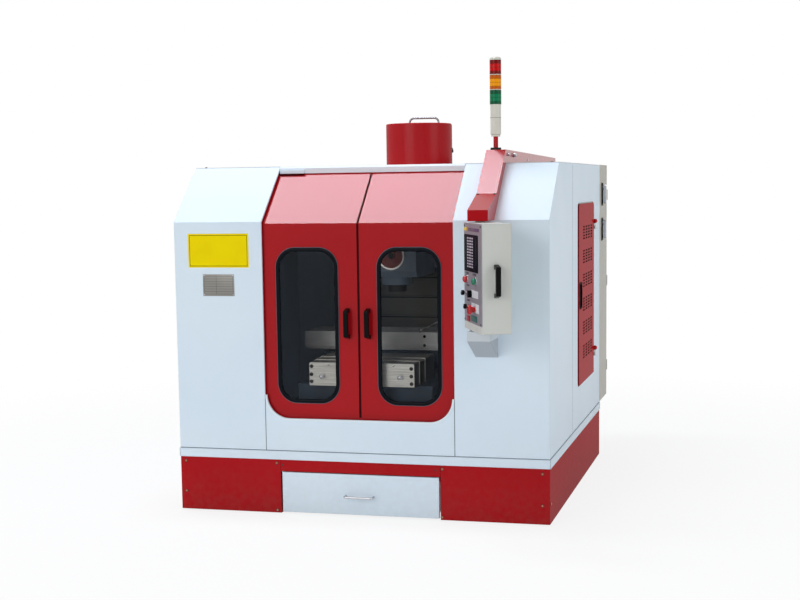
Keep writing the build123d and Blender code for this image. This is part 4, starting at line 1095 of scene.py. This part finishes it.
pendantPaint = {"legend": enamel("legend_white", (226, 226, 228), (214, 214, 218)),
                "bar": enamel("bar_violet", (112, 92, 118), (100, 82, 108)),
                "mark": enamel("mark_grey", (70, 66, 78), (60, 56, 68)),
                "red": enamel("field_red", (170, 36, 44), (153, 32.4, 39.6)),
                "green": enamel("field_green", (58, 112, 104), (52.2, 100.8, 93.6)),
                "panel": enamel("panel_navy", (18, 20, 30), (12, 14, 22), 0.6),
                "screen": enamel("screen_glass", (30, 36, 46), (24, 28, 36), 0.5),
                "key": enamel("key_top", (214, 204, 216), (188, 178, 192)),
                "lamp": enamel("lamp_yellow", (255, 206, 40), (246, 186, 30), 0.25)}


def onPendant(across, down, rise=0):
    turn = math.radians(pendant["turn"])
    right = Vector((math.cos(turn), -math.sin(turn), 0))
    out = Vector((-math.sin(turn), -math.cos(turn), 0))
    p = Vector((*pendant["pivot"], pendant["top"] - down)) + right * (across - pendant["edge"])
    return facing(*(p + out * (pendant["depth"] + rise)), right, (0, 0, 1))


def addPendantPanel():
    look, screen, keys = (pendantFace[k] for k in ("panel", "screen", "keys"))
    base = moved(plateOf("panel_base", look, pendantPaint["panel"]), onPendant(*look["middle"]))
    ob = plateOf("panel_screen", screen, pendantPaint["panel"], pendantPaint["screen"])
    pick(ob, "FACE", atTop(screen["thick"]))
    bpy.ops.mesh.inset(thickness=screen["inset"], depth=-screen["thick"] / 2)
    assign(ob, 1)
    closeUp()
    moved(ob, onPendant(*screen["middle"], look["thick"]))
    (x, y), (dx, dy), (columns, rows) = keys["first"], keys["pitch"], keys["count"]
    spots = [onPendant(x + dx * i, y + dy * j, look["thick"]) for i in range(columns) for j in range(rows)]
    made = [base, ob, copied("panel_keys", plateOf("panel_key", keys, pendantPaint["key"]), spots)]
    fitted(joined("pendant_panel", made), "pendant")


def addPendantLabels():
    made = []
    for kind, look in pendantLabels.items():
        for middle, size in look["at"]:
            label = plateOf(kind, dict(labelEdge, size=size, thick=look["thick"]), pendantPaint[kind])
            made.append(moved(label, onPendant(*middle)))
    fitted(joined("pendant_labels", made), "pendant")


def addPendantFittings():
    look = pendantFace["lamp"]
    lamp = turnedOf("pendant_lamp", look, pendantPaint["lamp"])
    fitted(lamp, "pendant", onPendant(*look["at"]))
    spots = [onPendant(*p) for p in pendantFace["screws"]]
    scattered("pendant_screws", pendantFace["screw"], darkSteel, spots, "pendant")


def addBezels():
    look = pendantFace["bezel"]
    ring = give(newRing("button_bezel", *look["ring"]), chrome)
    fitted(copied("button_bezels", ring, [onPendant(*p) for p in look["places"]]), "pendant")


knob = {"lift": 0.8, "sides": 32,
        "shape": ((10, 0), (10, 2), (5.5, 2.5), (5.5, 10.5), (9.5, 11.5), (11.5, 13.5), (11.5, 21.5),
                  (10.6, 24),
                  (9.4, 25)),
        "stem": 11, "line": {"size": (2, 8.5), "thick": 0.5, "corner": 0.8, "edge": 0.2},
        "lineAt": (0, 4.4, 25),
        "places": {"mode_knob": (50, 309), "axis_knob": (100, 366.5)}}


def addKnobs():
    # a black cap on a bright stem, with a pale line to read its place by
    cap = turnedOf("knob_model", knob, blackPlastic, chrome)
    repaint(cap, lambda face: face.calc_center_median().z < knob["stem"])
    line = moved(plateOf("knob_line", knob["line"], pendantPaint["legend"]),
                 Matrix.Translation(knob["lineAt"]))
    model = joined("knob_model", [cap, line])
    for name, place in knob["places"].items():
        ob = twin(name + "_cap", model, onPendant(*place, knob["lift"]))
        fitted(ob, name)
        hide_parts(name)
    bpy.data.objects.remove(model)


dome = {"lift": 4.6, "sides": 32, "shape": ((15.4, 0), (15.4, 4), (14.6, 8), (12, 12), (8, 14.6), (3, 15.8)),
        "places": {"stop_button": (58, 249, buttonRed, "button_red"),
                   "start_button": (239, 249, buttonGreen, "button_green")}}


def addButtonDomes():
    for name, (across, down, material, slot) in dome["places"].items():
        ob = turnedOf(name + "_dome", dome, material)
        fitted(ob, name, onPendant(across, down, dome["lift"]), smoothing["round"])
        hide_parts(name)


addPendantPanel()
addKnobs()
addButtonDomes()
addPendantLabels()
addBezels()
addPendantFittings()
print("control face dressed")


# Screwed hatches on the plain left and rear walls, louvres on the rear one, roof screws

hatch = {"thick": 3.5, "corner": 22, "edge": 1.2, "screwInset": 20,
         "rear": {"middle": (-280, 1813, 900), "size": (620, 700)},
         "left": {"middle": (-900, 1270, 930), "size": (560, 640)},
         "screw": {"sides": 20,
                   "shape": ((6, 0), (6, 1.2), (5.2, 2.8), (3.4, 3.8), (2.4, 4.2), (2.0, 4.2), (1.8, 2.2))}}
louvre = {"size": (150, 17), "rise": 8, "lean": -7.2, "edge": 1.1, "pitch": (186, 30), "count": (3, 7),
          "drop": 60}
roofScrew = {"top": 1649, "sides": (-860, 860), "y": (330, 1780), "backY": 1790, "backX": (-700, 300),
             "count": 6}


def addHatch(side, turnTo):
    look = dict(hatch, **hatch[side])
    width, height = look["size"]
    made = [plateOf(side + "_hatch", look, whitePaint)]
    across, up = width / 2 - look["screwInset"], height / 2 - look["screwInset"]
    spots = [(sx * across, sy * up) for sx in (-1, 1) for sy in (-1, 0, 1)] + [(0, -up), (0, up)]
    places = [Matrix.Translation((*spot, look["thick"])) for spot in spots]
    made.append(copied("hatch_screws", turnedOf("hatch_screw", look["screw"], darkSteel), places))
    if side == "rear":
        made.append(hatchLouvres())
    fitted(joined(side + "_hatch", made), "machine", turnTo(*look["middle"]))


def hatchLouvres():
    # plates leaning in towards their upper edge
    vent = give(newPlate("hatch_louvre", *louvre["size"], louvre["rise"]), whitePaint)
    pick(vent, "EDGE", lambda e: rimAt(louvre["rise"])(e) and all(v.co.y > 0 for v in e.verts))
    bpy.ops.transform.translate(value=(0, 0, louvre["lean"]))
    pick(vent, "EDGE", lambda e: all(v.co.z > 0.1 for v in e.verts))
    bpy.ops.mesh.bevel(offset=louvre["edge"], segments=2)
    closeUp()
    (dx, dy), (columns, rows) = louvre["pitch"], louvre["count"]
    places = [Matrix.Translation((dx * (i - (columns - 1) / 2), dy * (j - (rows - 1) / 2) - louvre["drop"],
                                  hatch["thick"])) for i in range(columns) for j in range(rows)]
    return copied("hatch_louvres", vent, places)


def evenly(span, count):
    low, high = span
    return [low + (high - low) * i / (count - 1) for i in range(count)]


def addRoofScrews():
    look = roofScrew
    spots = [(x, y) for x in look["sides"] for y in evenly(look["y"], look["count"])]
    spots += [(x, look["backY"]) for x in evenly(look["backX"], look["count"])]
    places = [onTop(x, y, look["top"]) for x, y in spots]
    scattered("roof_screws", hatch["screw"], darkSteel, places, "machine")


addHatch("rear", onRear)
addHatch("left", onLeft)
addRoofScrews()
print("hatches and roof screws set")
